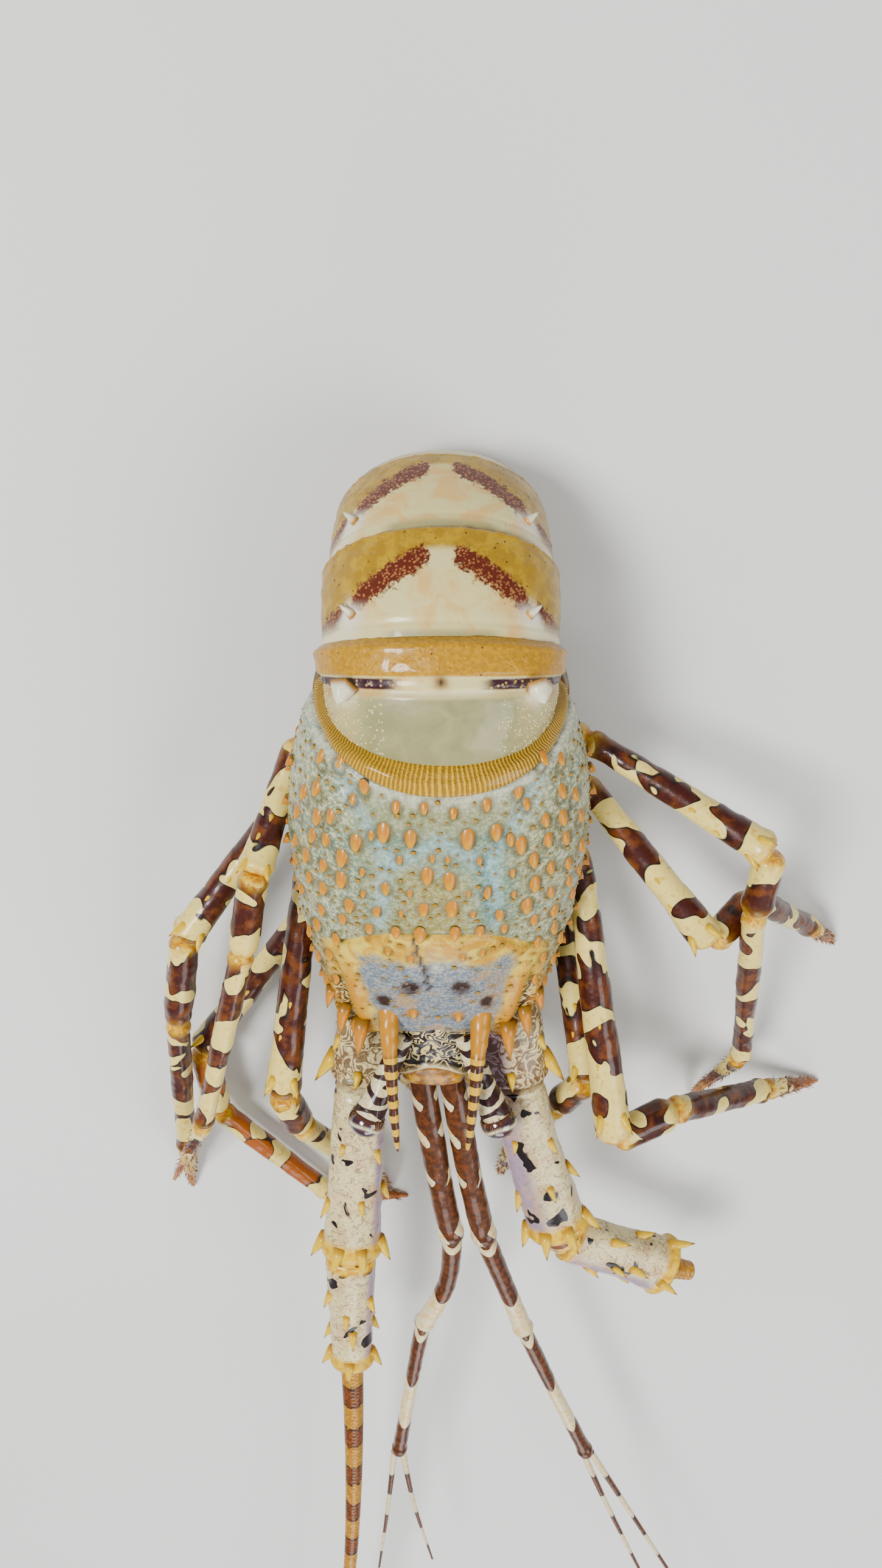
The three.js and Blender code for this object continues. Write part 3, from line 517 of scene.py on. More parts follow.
def make_mouth():
    m = Recipe("mouth_finish")
    vein = labyrinth(m, 6, 2.4, 1.0)
    colour = m.blend(vein, (120, 60, 34), (228, 196, 128))
    grain = m.noise(1.8, 4)
    return m.finish(colour, 0.34 + grain * 0.12, grain, 0.16, **WET)


def make_sternum():
    m = Recipe("sternum_finish")
    cloud = m.noise(10, 3, 0.5, 0.6)
    colour = m.blend(m.step(cloud, 0.4, 0.62), (222, 200, 148), (150, 92, 60))
    grain = m.noise(2, 4)
    return m.finish(colour, 0.4 + grain * 0.12, grain, 0.22, **WET)


def make_eye():
    m = Recipe("eye_finish")
    facets = m.cells(0.7)
    colour = m.blend(m.step(m.noise(5, 2), 0.42, 0.62), (30, 14, 26), (64, 30, 44))
    colour = m.layered(colour, {"edge": (74, 42, 34), "curl": (248, 240, 214)})
    return m.finish(colour, 0.08 + m.noise(3) * 0.05, facets, 0.03, Coat_Weight=1.0, Coat_Roughness=0.03)


def make_bristle():
    m = Recipe("bristle_finish")
    height = m.mark("height")
    colour = m.blend(m.step(height, 0.1, 0.9), (112, 70, 36), (196, 150, 92))
    return m.finish(colour, 0.5 + m.noise(1) * 0.1, None)


def make_plate():
    """Antennular plate: black and cream labyrinth, cream arc ridge, amber skin in front."""
    m = Recipe("plate_finish")
    maze = m.blend(labyrinth(m, 5, 6.5, 0.7, 0.45), BLACK, (236, 216, 168))
    amber = m.blend(m.step(m.noise(3, 3), 0.4, 0.62), (150, 96, 16), (222, 160, 44))
    colour = m.blend(m.mark("amber"), maze, amber)
    colour = m.blend(m.mark("arc"), colour, (240, 226, 188))
    grain = m.noise(1.4, 4)
    return m.finish(colour, 0.28 + grain * 0.12, grain, 0.16, **WET)


shell_finish = make_shell()
cone_finish = make_spine("cone_finish", (150, 104, 22), (218, 138, 0), (230, 164, 20))
granule_finish = make_spine("granule_finish", (104, 80, 30), (184, 134, 34), (206, 160, 60))
knob_finish = make_spine("knob_finish", (214, 150, 60), (250, 244, 222), (250, 244, 222))
bead_finish = make_spine("bead_finish", (196, 186, 140), (232, 222, 184), (232, 222, 184))
thorn_finish = make_spine("thorn_finish", (222, 168, 66), (246, 206, 84), (160, 92, 30))
leg_finish = make_leg()
antenna_finish = make_antenna()
antennule_finish = make_banded("antennule_finish", (70, 42, 28), (242, 230, 200), (34, 18, 16))
horn_finish = make_banded("horn_finish", (60, 36, 26), (236, 190, 92), (34, 20, 18), 1.2)
whip_finish = make_banded("whip_finish", (92, 56, 36), (168, 122, 70), (58, 36, 26), 1.2)
tail_finish = make_tail()
fan_finish = make_fan()
mouth_finish = make_mouth()
sternum_finish = make_sternum()
eye_finish = make_eye()
stalk_finish = make_banded("stalk_finish", (40, 22, 22), (246, 240, 214), (20, 12, 14), 1.4)
bristle_finish = make_bristle()
plate_finish = make_plate()


# Studs: one form set on many points by Geometry Nodes
def stud_tree():
    tree = bpy.data.node_groups.new("studs", "GeometryNodeTree")
    face = tree.interface
    face.new_socket("Geometry", in_out="INPUT", socket_type="NodeSocketGeometry")
    sides = face.new_socket("Sides", in_out="INPUT", socket_type="NodeSocketInt")
    belly = face.new_socket("Belly", in_out="INPUT", socket_type="NodeSocketFloat")
    finish = face.new_socket("Finish", in_out="INPUT", socket_type="NodeSocketMaterial")
    face.new_socket("Geometry", in_out="OUTPUT", socket_type="NodeSocketGeometry")

    def add(kind, settings=None, values=None):
        return add_node(tree, kind, settings, values).outputs[0]

    group = add_node(tree, "NodeGroupInput").outputs
    cone = add("GeometryNodeMeshCone", {}, {
        "Vertices": group["Sides"], "Side Segments": 3, "Fill Segments": 1,
        "Radius Top": 0.0, "Radius Bottom": 1.0, "Depth": 1.0,
    })
    place = add("GeometryNodeInputPosition")
    height = add_node(tree, "ShaderNodeSeparateXYZ", {}, {0: place}).outputs["Z"]
    stored = {"data_type": "FLOAT", "domain": "POINT"}
    values = {"Geometry": cone, "Name": "height", "Value": height}
    kept = add("GeometryNodeStoreNamedAttribute", stored, values)
    swell = add("ShaderNodeMath", {"operation": "MULTIPLY"}, {0: height, 1: group["Belly"]})
    wide = add("ShaderNodeMath", {"operation": "ADD"}, {0: swell, 1: 1.0})
    girth = add("ShaderNodeCombineXYZ", {}, {"X": wide, "Y": wide, "Z": 1.0})
    fuller = add("ShaderNodeVectorMath", {"operation": "MULTIPLY"}, {0: place, 1: girth})
    form = add("GeometryNodeSetPosition", {}, {"Geometry": kept, "Position": fuller})
    smooth = add("GeometryNodeSetShadeSmooth", {}, {"Geometry": form, "Shade Smooth": True})
    vector = {"data_type": "FLOAT_VECTOR"}
    aim = add("GeometryNodeInputNamedAttribute", vector, {"Name": "aim"})
    size = add("GeometryNodeInputNamedAttribute", vector, {"Name": "size"})
    turn = add("FunctionNodeAlignRotationToVector", {"axis": "Z"}, {"Vector": aim})
    values = {"Points": group["Geometry"], "Instance": smooth, "Rotation": turn, "Scale": size}
    many = add("GeometryNodeInstanceOnPoints", {}, values)
    real = add("GeometryNodeRealizeInstances", {}, {0: many})
    painted = add("GeometryNodeSetMaterial", {}, {"Geometry": real, "Material": group["Finish"]})
    add_node(tree, "NodeGroupOutput", {}, {0: painted})
    return tree, sides.identifier, belly.identifier, finish.identifier


STUDS = stud_tree()


def studs(name, roots, aims, radii, lengths, material, slot, sides=8, belly=0.7, sink=0.3):
    """Spines, cones or granules as one piece; roots in design millimetres."""
    roots = np.asarray(roots, float)
    aims = np.asarray(aims, float)
    aims = aims / np.linalg.norm(aims, axis=1)[:, None]
    radii = np.broadcast_to(np.asarray(radii, float), len(roots))
    lengths = np.broadcast_to(np.asarray(lengths, float), len(roots))
    tree, sides_key, belly_key, finish_key = STUDS
    mesh = bpy.data.meshes.new(name + "_points")
    sunk = roots - aims * (radii * sink)[:, None]
    mesh.from_pydata([tuple(p) for p in sunk * MM + SHIFT], [], [])
    size = np.stack([radii, radii, lengths], 1) * MM
    for label, values in (("aim", aims), ("size", size)):
        attribute = mesh.attributes.new(label, "FLOAT_VECTOR", "POINT")
        attribute.data.foreach_set("vector", values.astype(np.float32).ravel())
    holder = placed(name + "_points", mesh)
    modifier = holder.modifiers.new("studs", "NODES")
    modifier.node_group = tree
    modifier[sides_key] = sides
    modifier[belly_key] = belly
    modifier[finish_key] = material
    seen = holder.evaluated_get(bpy.context.evaluated_depsgraph_get())
    result = bpy.data.meshes.new_from_object(seen)
    result.name = name
    for vertex in result.vertices:
        vertex.co.z = max(vertex.co.z, FLOOR_GAP)
    holder.modifiers.clear()
    bpy.data.objects.remove(holder)
    return show(placed(name, result), slot)


# Carapace: [y, half width, top, widest level, bottom, backward sweep of the sides]
SHELL = np.array([
    [1, 35, -2.2, -30, -49, 12], [-1, 37.5, 0, -30, -50, 11], [-6, 39.8, 0.6, -31, -51, 10],
    [-8.5, 40.4, -0.2, -31, -51.5, 9], [-14, 42.6, 0.6, -32, -52, 6], [-25, 44.8, 1, -33, -53, 3],
    [-40, 46, 0.8, -34, -53, 0], [-53, 45.6, -0.6, -34, -53, 0], [-59, 45, -2.0, -34, -52, 0],
    [-65, 44.2, -3.8, -34, -51, 0], [-76, 43, -5.4, -34, -50, 0], [-90, 40.5, -8.2, -34, -48, 0],
    [-103, 37.6, -11.2, -33, -46, 0], [-113, 34.8, -14.2, -32, -44, 0], [-119, 31, -17.4, -31, -42, 0],
    [-122.5, 23, -22, -30, -38, 0],
])
SHELL_ROWS = 240
SHELL_COLUMNS = 320
RIM_RIBS = 32
GRANULE_TRIES = 2600
DROP_ROWS = 10
DROP_COLUMNS = 18
CRACK_X = [-7.1, -5.8, -3.7, -1.5]
CRACK_Y = [-59, -70, -77, -91]


def shell_at(y, angle):
    half, top, level, bottom, sweep = (curve_through(y, SHELL[:, 0], SHELL[:, i]) for i in range(1, 6))
    s = np.sin(angle)
    c = np.cos(angle)
    rise = np.where(c > 0, (top - level) * np.abs(c) ** 0.92, -(level - bottom) * np.abs(c) ** 0.75)
    narrow = np.where(c < 0, 1 - 0.4 * np.abs(c) ** 1.4, 1)
    return np.stack([half * power(s, 0.86) * narrow, y + sweep * (1 - c) / 2, level + rise], -1)


def groove_line(x):
    """Where the neck groove crosses, curving forward at the sides."""
    return -59.5 - 12.5 * ease(np.abs(x), 11, 37)


def front_half_width(y):
    return np.interp(-y, [79, 115], [24.6, 19])


def crack_distance(x, y):
    at = np.interp(y, CRACK_Y[::-1], CRACK_X[::-1])
    inside = ease(-y, 58, 60) * (1 - ease(-y, 88, 92))
    return np.abs(x - at - 0.5 * np.sin(y * 1.3)) + 4 * (1 - inside)


def near(x, y, start, end, width):
    """1 on the line between two places, fading over the given width."""
    (x0, y0), (x1, y1) = start, end
    t = np.clip(((x - x0) * (x1 - x0) + (y - y0) * (y1 - y0)) / ((x1 - x0) ** 2 + (y1 - y0) ** 2), 0, 1)
    return hump(np.hypot(x - x0 - t * (x1 - x0), y - y0 - t * (y1 - y0)), 0, width)


def rim_depth(x, y):
    """How far a place lies behind the front edge of the rim band."""
    return y + 7.6 - 9.5 * (np.abs(x) / 31) ** 2.2


def shell_relief(p):
    x, y = p[..., 0], p[..., 1]
    u = np.abs(x)
    behind = y - groove_line(x)
    rim = rim_depth(x, y)
    gastric = ease(-behind, 1, 3)
    relief = 0.4 * lumps(p, 17, 1) + 0.07 * lumps(p, 5, 2)
    relief += 0.06 * np.maximum(lumps(p, 1.9, 3), 0) * (1 - ease(rim, -2, -1))
    relief += -1.9 * hump(behind, -1.6, 1.5) + 0.9 * hump(behind, 1.6, 2.0)
    relief += -1.0 * hump(rim, -0.5, 0.7) + 1.1 * ease(rim, 0, 1.6) * (1 - ease(rim, 4.5, 6.5))
    relief += 1.9 * hump(u, front_half_width(y) + 3.4, 2.4) * ease(-y, 74, 96)
    relief += -0.9 * hump(u, front_half_width(y) + 7.6, 1.3) * ease(-y, 78, 92)
    relief += 1.2 * hump(u, front_half_width(y) + 11, 1.9) * ease(-y, 82, 96)
    relief += -0.8 * hump(x, 0, 5) * ease(-y, 92, 106)
    relief += 0.8 * hump(u, 8.5, 6) * gastric * (1 - ease(-y, 84, 100))
    relief += -0.9 * hump(np.hypot(u - 8, y + 86), 0, 1.7)
    relief += -0.7 * hump(crack_distance(x, y), 0, 0.6)
    relief += -1.0 * near(u, y, (26, -8), (14.5, -30), 1.9) - 0.8 * near(u, y, (14.5, -30), (17, -56), 2.0)
    return relief


def carapace():
    y = np.linspace(1, -122.5, SHELL_ROWS)[:, None]
    angle = ring_angles(SHELL_COLUMNS)[None, :]
    base = shell_at(*np.broadcast_arrays(y, angle))
    fade = ease(y, -122.5, -118) * (1 - ease(y, 0, 1))
    grid = raised(base, shell_relief(base) * fade)
    x, along = base[..., 0], base[..., 1]
    u = np.abs(x)
    upper = ease(base[..., 2], -42, -32)
    wide = front_half_width(along)
    gone = groove_line(x) - along
    rim = rim_depth(x, along)
    wavy = lumps(base, 5, 22)
    corner = 3.5 * hump(u, 15, 6)
    front = ease(-along + 2.5 * wavy - corner, 69, 76) * upper
    front = front * (1 - ease(u + 1.5 * wavy, wide - 2.5, wide + 1.0))
    maze = ease(-along, 86, 94) * ease(u, wide + 6, wide + 8)
    maze = maze + ease(-along, 113, 116) * (1 - ease(u, 11, 13))
    maze = maze + (1 - ease(base[..., 2], -46, -38)) * ease(-along, 60, 80)
    warm = ease(gone, 0.5, 2) * (1 - front) * (1 - ease(u, wide + 8, wide + 14)) * upper
    streak = near(u, along, (0, -21), (12, -31), 1.7) + near(u, along, (27, -6), (14.5, -30), 2.6)
    streak = streak + near(u, along, (14.5, -30), (17, -56), 2.2)
    streak = streak + 0.5 * near(x, along, (0, -21), (0, -34), 1.2)
    olive = np.exp(-((u / 12) ** 4)) * ease(-along, 30, 38) * (1 - ease(-along, 56, 60))
    teal = near(x, along, (14, -34), (17, -52), 4.5) + 0.6 * near(u, along, (4, -24), (16, -24), 5)
    pale = ease(rim, -6, -1.5) * (1 - ease(rim, -0.9, -0.3)) + 0.8 * hump(np.hypot(x, along + 76.5), 0, 1.6)
    ragged = 1.2 * lumps(base, 1.4, 21)
    # Painted shade: near-black in the pits, along the cracks, in the rim groove and in the neck groove, where
    # the relief dips
    dark = 2.6 * hump(np.hypot(u - 8, (along + 86) * 0.8) + ragged * 0.5, 0, 2.3)
    dark = dark + 2.6 * hump(np.hypot(u - 16.5, (along + 96) * 0.7) + ragged * 0.6, 0, 1.7)
    dark = dark + 2.0 * hump(crack_distance(x, along), 0, 0.55) + 0.55 * hump(rim, -0.4, 0.45)
    dark = dark + 0.75 * hump(gone, 1.3, 0.8) * (1 - ease(u, 15, 22))
    # Painted shade: a dark ring at the foot of each granule and cone, from the distance to the nearest
    # granule's edge and to each cone's outline
    tree = kdtree.KDTree(len(GRANULES[0]))
    for number, spot in enumerate(shell_at(GRANULES[0], GRANULES[1])):
        tree.insert(spot, number)
    tree.balance()
    found = [tree.find(p)[1:] for p in base.reshape(-1, 3)]
    apart = np.array([distance - GRANULES[2][number] for number, distance in found]).reshape(x.shape)
    foot_shade = 0.65 * hump(apart, 0.1, 0.5)
    for cx, cy, size in cone_places():
        apart = np.hypot(x - cx, (along - cy + 0.5 * size) * 0.7)
        foot_shade = np.maximum(foot_shade, hump(apart, size * 1.05, 0.55 + 0.12 * size))
    ridge = ease(-along, 76, 90) * hump(u, wide + 3.4, 2.6)
    ridge = ridge + 0.7 * ease(-along, 84, 96) * hump(u, wide + 11, 1.6)
    spots = hump(np.hypot(u - 7.4, along + 102) + ragged * 0.3, 0, 1.9)
    marks = {
        "rim": ease(rim, -0.2, 0.4), "front": front, "warm": warm, "maze": maze, "streak": streak,
        "pale": pale, "dark": dark, "olive": olive * upper, "teal": teal * upper,
        "side": ease(u, 18, 30), "foot_shade": foot_shade * upper, "ridge": np.maximum(ridge, spots) * upper,
    }
    marks = {label: np.clip(values, 0, 1) for label, values in marks.items()}
    marks["rib_turn"] = np.where(angle > math.pi, angle - FULL_TURN, angle) * RIM_RIBS
    dress("carapace_shell", from_thorax(grid), shell_finish, "shell", ["carapace"], **marks)


def shell_root(x, y, angle=None):
    """Design point and outward direction on the carapace at a place in the thorax frame."""
    half = curve_through(y, SHELL[:, 0], SHELL[:, 1])
    if angle is None:
        angle = np.sign(x) * np.arcsin(np.clip(np.abs(x) / half, 0, 0.999) ** (1 / 0.86))
    here = shell_at(y, angle)
    ahead = shell_at(y - 0.4, angle) - shell_at(y + 0.4, angle)
    round_it = shell_at(y, angle + 0.02) - shell_at(y, angle - 0.02)
    normal = np.cross(round_it, ahead)
    normal /= np.linalg.norm(normal, axis=-1)[..., None]
    flip = np.sign((normal * (here - np.stack([0 * y, y, 0 * y - 30], -1))).sum(-1))[..., None]
    normal = normal * flip
    here = here + normal * shell_relief(here)[..., None]
    return from_thorax(here), normal @ TURN.T


FORWARD = np.array([0, -1, 0]) @ TURN.T
# Forward leaning cones on both sides: offset from the midline, place along the back, half width
CONES = [
    (3.9, -11.4, 1.2), (12, -10.4, 1.4), (20.8, -7.8, 1.5), (27.4, -1.5, 1.5), (32.5, -5, 1.5),
    (34, -12.5, 1.6), (7.5, -20.2, 2.0), (15.6, -19, 1.9), (19.6, -22.8, 1.2), (23.2, -25.4, 1.8),
    (24, -12, 1.2), (30, -19, 1.4), (34.4, -22, 1.7), (38, -17, 1.5), (3.2, -34.2, 2.0),
    (27.2, -32.4, 1.8), (31.5, -27, 1.5), (36.5, -29, 1.7), (14.6, -39.8, 1.5), (28, -40.5, 1.8),
    (32.6, -37, 1.4), (38.5, -38, 1.6), (4.4, -46.2, 1.9), (26, -49.3, 1.8), (18, -50.6, 1.4),
    (33.6, -47, 1.6), (38.6, -46, 1.4), (41, -26, 1.5), (42, -36, 1.5), (42.5, -46, 1.5),
    (5.6, -57.4, 1.9), (12.6, -57, 1.5), (20.4, -58.4, 1.3), (28.6, -57, 1.6), (35.5, -57, 1.6),
    (41, -55, 1.5), (30.5, -69, 1.6), (36.5, -68, 1.7), (39.8, -76, 1.7), (34, -79, 1.6),
    (37.5, -86, 1.7), (31.5, -91, 1.5), (35.6, -97, 1.7), (2.2, -27.5, 0.8), (11, -28.5, 0.9),
    (8.6, -40.5, 0.8), (10.5, -50, 0.9), (21, -34.5, 0.9), (22, -43.5, 0.9), (7.4, -70, 1.0),
    (14.5, -68, 1.1), (7.3, -102, 1.5),
]
# The long spines of the front edge: offset from the midline, place, length, half width
FRONT_SPINES = [(23.4, -110, 13, 2.8), (29.6, -107, 11, 2.5), (26.8, -116, 6, 1.8), (33.4, -100, 7, 2.0)]


def cone_places():
    """Each cone's own place, a little off the mirror image."""
    wander = np.random.default_rng(5)
    places = []
    for offset, y, size in CONES:
        for side in (-1, 1):
            x = side * (offset + wander.uniform(-0.6, 0.6))
            places.append((x, y + wander.uniform(-0.9, 0.9), size * wander.uniform(0.9, 1.12)))
    return places


def drops(name, roots, normals, radius, stretch, lift, material):
    """Oval drops whose tips lie forward, all in one piece."""
    ahead = FORWARD - normals * (normals @ FORWARD)[:, None]
    ahead /= np.linalg.norm(ahead, axis=1)[:, None]
    side = np.cross(ahead, normals)
    turn = ring_angles(DROP_COLUMNS)
    rise = np.linspace(0, 1, DROP_ROWS)
    points, heights, faces = [], [], []
    for root, normal, front, across, size in zip(roots, normals, ahead, side, radius):
        first = len(points)
        for t in rise:
            wide = size * math.sqrt(max(1 - t ** 1.9, 0.002))
            centre = root + front * size * stretch * 0.95 * t ** 1.3 + normal * size * (lift * t - 0.25)
            for a in turn:
                points.append(centre + across * wide * math.cos(a) + front * wide * stretch * math.sin(a))
                heights.append(t)
        for row in range(DROP_ROWS - 1):
            for k in range(DROP_COLUMNS):
                a = first + row * DROP_COLUMNS + k
                b = first + row * DROP_COLUMNS + (k + 1) % DROP_COLUMNS
                faces.append((a, b, b + DROP_COLUMNS, a + DROP_COLUMNS))
        faces.append(tuple(range(len(points) - DROP_COLUMNS, len(points))))
        faces.append(tuple(range(first + DROP_COLUMNS - 1, first - 1, -1)))
    show(mesh_of(name, points, faces, {"height": heights}, material), "shell")


def granule_places():
    """Place along the shell, angle round it and radius of each granule, none of them touching."""
    count = GRANULE_TRIES
    y = draw.uniform(-118, -4, count)
    angle = draw.uniform(-1.9, 1.9, count)
    radius = draw.choice([0.42, 0.58, 0.74, 0.92], count, p=[0.38, 0.32, 0.2, 0.1])
    here = shell_at(y, angle)
    x = here[:, 0]
    bare = (here[:, 1] < groove_line(x)) & (here[:, 1] > -76)
    bare = bare | (np.abs(x) < front_half_width(y)) & (y < -76)
    keep = (rim_depth(x, here[:, 1]) < -1.5) & ~(bare & (draw.uniform(0, 1, count) < 0.85))
    cone_x, cone_y, cone_size = np.array(cone_places()).T
    kept = []
    for i in np.flatnonzero(keep):
        clear = np.hypot(cone_x - x[i], cone_y - here[i, 1]) > cone_size * 1.5 + 0.8
        if clear.all() and all(np.linalg.norm(here[i] - here[k]) > 2.5 for k in kept):
            kept.append(i)
    return y[kept], angle[kept], radius[kept]


GRANULES = granule_places()


def cones():
    x, y, radius = np.array(cone_places()).T
    roots, normals = shell_root(x, y)
    drops("carapace_cones", roots, normals, radius * 0.95, 1.5, 1.0, cone_finish)
    angle, y, length = [], [], []
    for row in np.arange(-14, -110, -8.0):
        for at in (1.5, 1.72, 1.98):
            for side in (-1, 1):
                angle.append(side * (at + draw.uniform(-0.08, 0.08)))
                y.append(row + draw.uniform(-3, 3))
                length.append(draw.uniform(2.4, 3.8))
    roots, normals = shell_root(0, np.array(y), np.array(angle))
    wide = np.array(length) * 0.46
    studs("carapace_side_cones", roots, normals + FORWARD, wide, length, cone_finish, "shell", 12, 0.9)
    spots = [(side * x, y, long, wide) for x, y, long, wide in FRONT_SPINES for side in (-1, 1)]
    x, y, length, radius = np.array(spots).T
    roots, normals = shell_root(x, y)
    aims = normals * 0.8 + FORWARD * 2.4
    studs("front_spines", roots, aims, radius, length + radius, cone_finish, "shell", 16, 0.75, 0.5)


def granules():
    y, angle, radius = GRANULES
    roots, normals = shell_root(0, y, angle)
    length = radius * draw.uniform(0.9, 1.3, len(radius))
    aims = normals + FORWARD * 0.5
    studs("carapace_granules", roots, aims, radius, length, granule_finish, "shell", 7, 1.0)


# Horns, antennular plate and sternum
HORN = [
    (15.2, -103, -16, 3.6), (14.9, -111, -10.5, 3.0), (14.3, -118, -6, 2.3), (13.7, -127, -1.5, 1.8),
    (12.6, -139, 3.5, 1.4), (11.6, -149, 6.5, 0.4),
]
PLATE = [
    (0, -108, -25, 15, 9.5), (0, -120, -24, 14.2, 8.8), (0, -132, -22.5, 13, 7.4),
    (0, -143, -20.5, 10.6, 4.6),
]
STERNUM = [
    (0, -4, -52, 27, 6), (0, -30, -55, 27, 7), (0, -60, -55, 22, 7),
    (0, -88, -52, 14, 6), (0, -104, -48, 9, 5),
]


def thorax_stations(stations, side=1):
    rows = np.array(stations, float)
    rows[:, 0] *= side
    rows[:, :3] = from_thorax(rows[:, :3])
    return rows


def head_pieces():
    for side, letter in SIDES:
        rows = thorax_stations([(x, y, z, r, r) for x, y, z, r in HORN], side)
        grid, s, angle = limb_grid(rows, 22, 0.5, 4)
        band = (0.5 + 0.5 * np.sin(s * FULL_TURN / 5.2 - 1.2))[:, None] * np.ones(22)
        foot = (1 - ease(s / s[-1], 0.3, 0.36))[:, None] * np.ones(22)
        grid = raised(grid, 0.18 * band + 0.14 * lumps(grid, 2.2, 5))
        band = band * (1 - foot)
        dress(f"horn_{letter}_cone", grid, horn_finish, "shell", [f"horn_{letter}"], band=band, foot=foot)
    rows = thorax_stations(PLATE)
    grid, s, angle = limb_grid(rows, 96, 0.4, 3, 0.8)
    local = (grid - RIM_TOP) @ TURN
    x, y = local[..., 0], local[..., 1]
    arc_y = -130.5 - 8.5 * (x / 12) ** 2
    arc = hump(y, arc_y, 0.9) * (np.sin(angle) > 0)
    relief = 1.5 * hump(y, arc_y, 1.2) * (np.sin(angle) > 0) + 0.35 * lumps(grid, 2.6, 6)
    amber = ease(arc_y - y, 0.2, 1.2)
    dress("antennular_plate", raised(grid, relief), plate_finish, "shell", ["carapace"], arc=arc, amber=amber)
    grid, s, angle = limb_grid(thorax_stations(STERNUM), 48, 1.5, 4)
    dress("sternum_plates", raised(grid, 0.6 * lumps(grid, 7, 7)), sternum_finish, "sternum", ["sternum"])


# Eyes
EYE_RADIUS = 6.3
EYE_BRISTLES = 90


def eyes():
    for side, letter in SIDES:
        node = f"eye_{letter}"
        root = from_thorax([side * 10, -118, -17])
        ball = from_thorax([side * 22.5, -146, -4])
        axis = (ball - root) / np.linalg.norm(ball - root)
        middle = root * 0.45 + ball * 0.55
        rows = [(*root, 3.4, 3.4), (*middle, 4.0, 3.9)]
        rows += [(*(ball - axis * 3.2), 5.3, 5.2), (*(ball - axis * 0.6), 5.0, 5.0)]
        grid, s, angle = limb_grid(rows, 36, 0.5, 2)
        s = s[:, None]
        wave = np.sin(angle * 2 + s * 0.35 + 1.1 * np.sin(s * 0.7))
        band = np.clip(0.5 + 0.5 * np.sin(s * 1.05 + 1.4 * wave), 0, 1)
        dress(f"{node}_stalk", raised(grid, 0.2 * lumps(grid, 2, 9)), stalk_finish, "eye", [node], band=band)
        lift = np.linspace(-0.45, math.pi / 2 - 0.02, 30)[:, None]
        turn = ring_angles(48)
        first = np.cross(axis, [0, 0, 1])
        first /= np.linalg.norm(first)
        second = np.cross(first, axis)
        ring = np.cos(turn)[None, :, None] * first + np.sin(turn)[None, :, None] * second
        cap = ball + EYE_RADIUS * (np.cos(lift)[..., None] * ring + 0.92 * np.sin(lift)[..., None] * axis)
        edge = 1 - ease(lift, -0.3, -0.12)
        curl = hump(lift, 0.16 + 0.1 * np.sin(turn * 3), 0.1) * ease(np.sin(turn + side * 0.6), -0.5, -0.1)
        dress(f"{node}_cornea", cap, eye_finish, "eye", [node], edge=edge, curl=curl)
        around = draw.uniform(0, FULL_TURN, EYE_BRISTLES)
        spot = np.cos(around)[:, None] * first + np.sin(around)[:, None] * second
        spot = spot[spot @ np.array([-side, 0.6, 0.1]) > 0.1]
        base = ball - axis * draw.uniform(1.5, 3.5, len(spot))[:, None] + spot * 5.0
        aims = spot * 0.8 + axis * 1.1
        length = draw.uniform(2.4, 4.2, len(spot))
        studs(f"{node}_bristles", base, aims, 0.16, length, bristle_finish, "eye", 4, 0.2)


# Antennae: [x, y, z, half width, half height]
ANTENNAE = {
    "R": {
        "base": [(-23, -100, 34, 11, 10), (-25.5, -120, 37.5, 11.2, 9.8), (-28, -136, 40.5, 10.4, 9.2)],
        "arm": [
            (-28.4, -138.5, 41.5, 9.2, 8.2), (-30, -160, 45, 9.4, 8.2),
            (-32, -190, 48, 9.8, 8.8), (-33.5, -209, 49, 11.2, 9.6),
        ],
        "fore": [
            (-33.8, -212.5, 49, 9.8, 8.6), (-34.5, -235, 49.5, 8.4, 7.4),
            (-35, -260, 49.5, 7.7, 7), (-35.2, -268, 49.5, 8.6, 7.8),
        ],
    },
    "L": {
        "base": [(22, -100, 34, 11, 10), (24.5, -120, 37.5, 11.2, 9.8), (27, -136, 40.5, 10.4, 9.2)],
        "arm": [
            (27.6, -138.5, 41.5, 9.2, 8.2), (32, -162, 45.5, 9.6, 8.4),
            (39.5, -186, 48, 10.2, 9), (43.5, -199, 48.5, 11.4, 9.6),
        ],
        "fore": [
            (47, -204, 48.5, 9.8, 8.4), (60, -210.5, 47.5, 8.9, 7.6),
            (74, -217.5, 46, 9.4, 8), (85, -223, 45, 12, 9.4),
        ],
    },
}
# Spines along a segment: fraction, angle round it, length, radius
ARM_SPINES = [
    (0.3, 1.0, 4, 1.3), (0.34, 2.5, 5, 1.5), (0.6, 3.2, 7, 1.9), (0.62, 1.9, 5, 1.5), (0.66, 0.4, 7, 1.9),
    (0.93, 0.15, 9, 2.5), (0.93, 1.1, 8, 2.4), (0.93, 2.0, 8, 2.4), (0.93, 3.0, 9, 2.5),
]
FORE_SPINES = [
    (0.3, 0.5, 6, 1.9), (0.34, 2.6, 6, 1.9), (0.46, 1.4, 5, 1.6),
    (0.62, 1.7, 6, 1.9), (0.64, 3.3, 6, 1.9), (0.66, 0.2, 6, 1.8),
    (0.93, 0.0, 8, 2.2), (0.93, 1.5, 6, 2.1), (0.93, 3.1, 8, 2.2), (0.93, 4.4, 5, 1.8),
]


def spines_on(name, stations, spine_list, slot, material, lean=1.9):
    s, line, size = dense_path(stations, 0.8, 2)
    tangent, side, up = path_frame(line)
    t, angle, length, radius = np.array(spine_list, float).T
    i = np.clip((t * (len(s) - 1)).astype(int), 0, len(s) - 1)
    a, b = size[i].T
    reach = a * b / np.hypot(b * np.cos(angle), a * np.sin(angle))
    outward = np.cos(angle)[:, None] * side[i] + np.sin(angle)[:, None] * up[i]
    roots = line[i] + outward * (reach - radius * 0.2)[:, None]
    studs(name, roots, outward + tangent[i] * lean, radius, length + radius, material, slot, 12, 0.7)


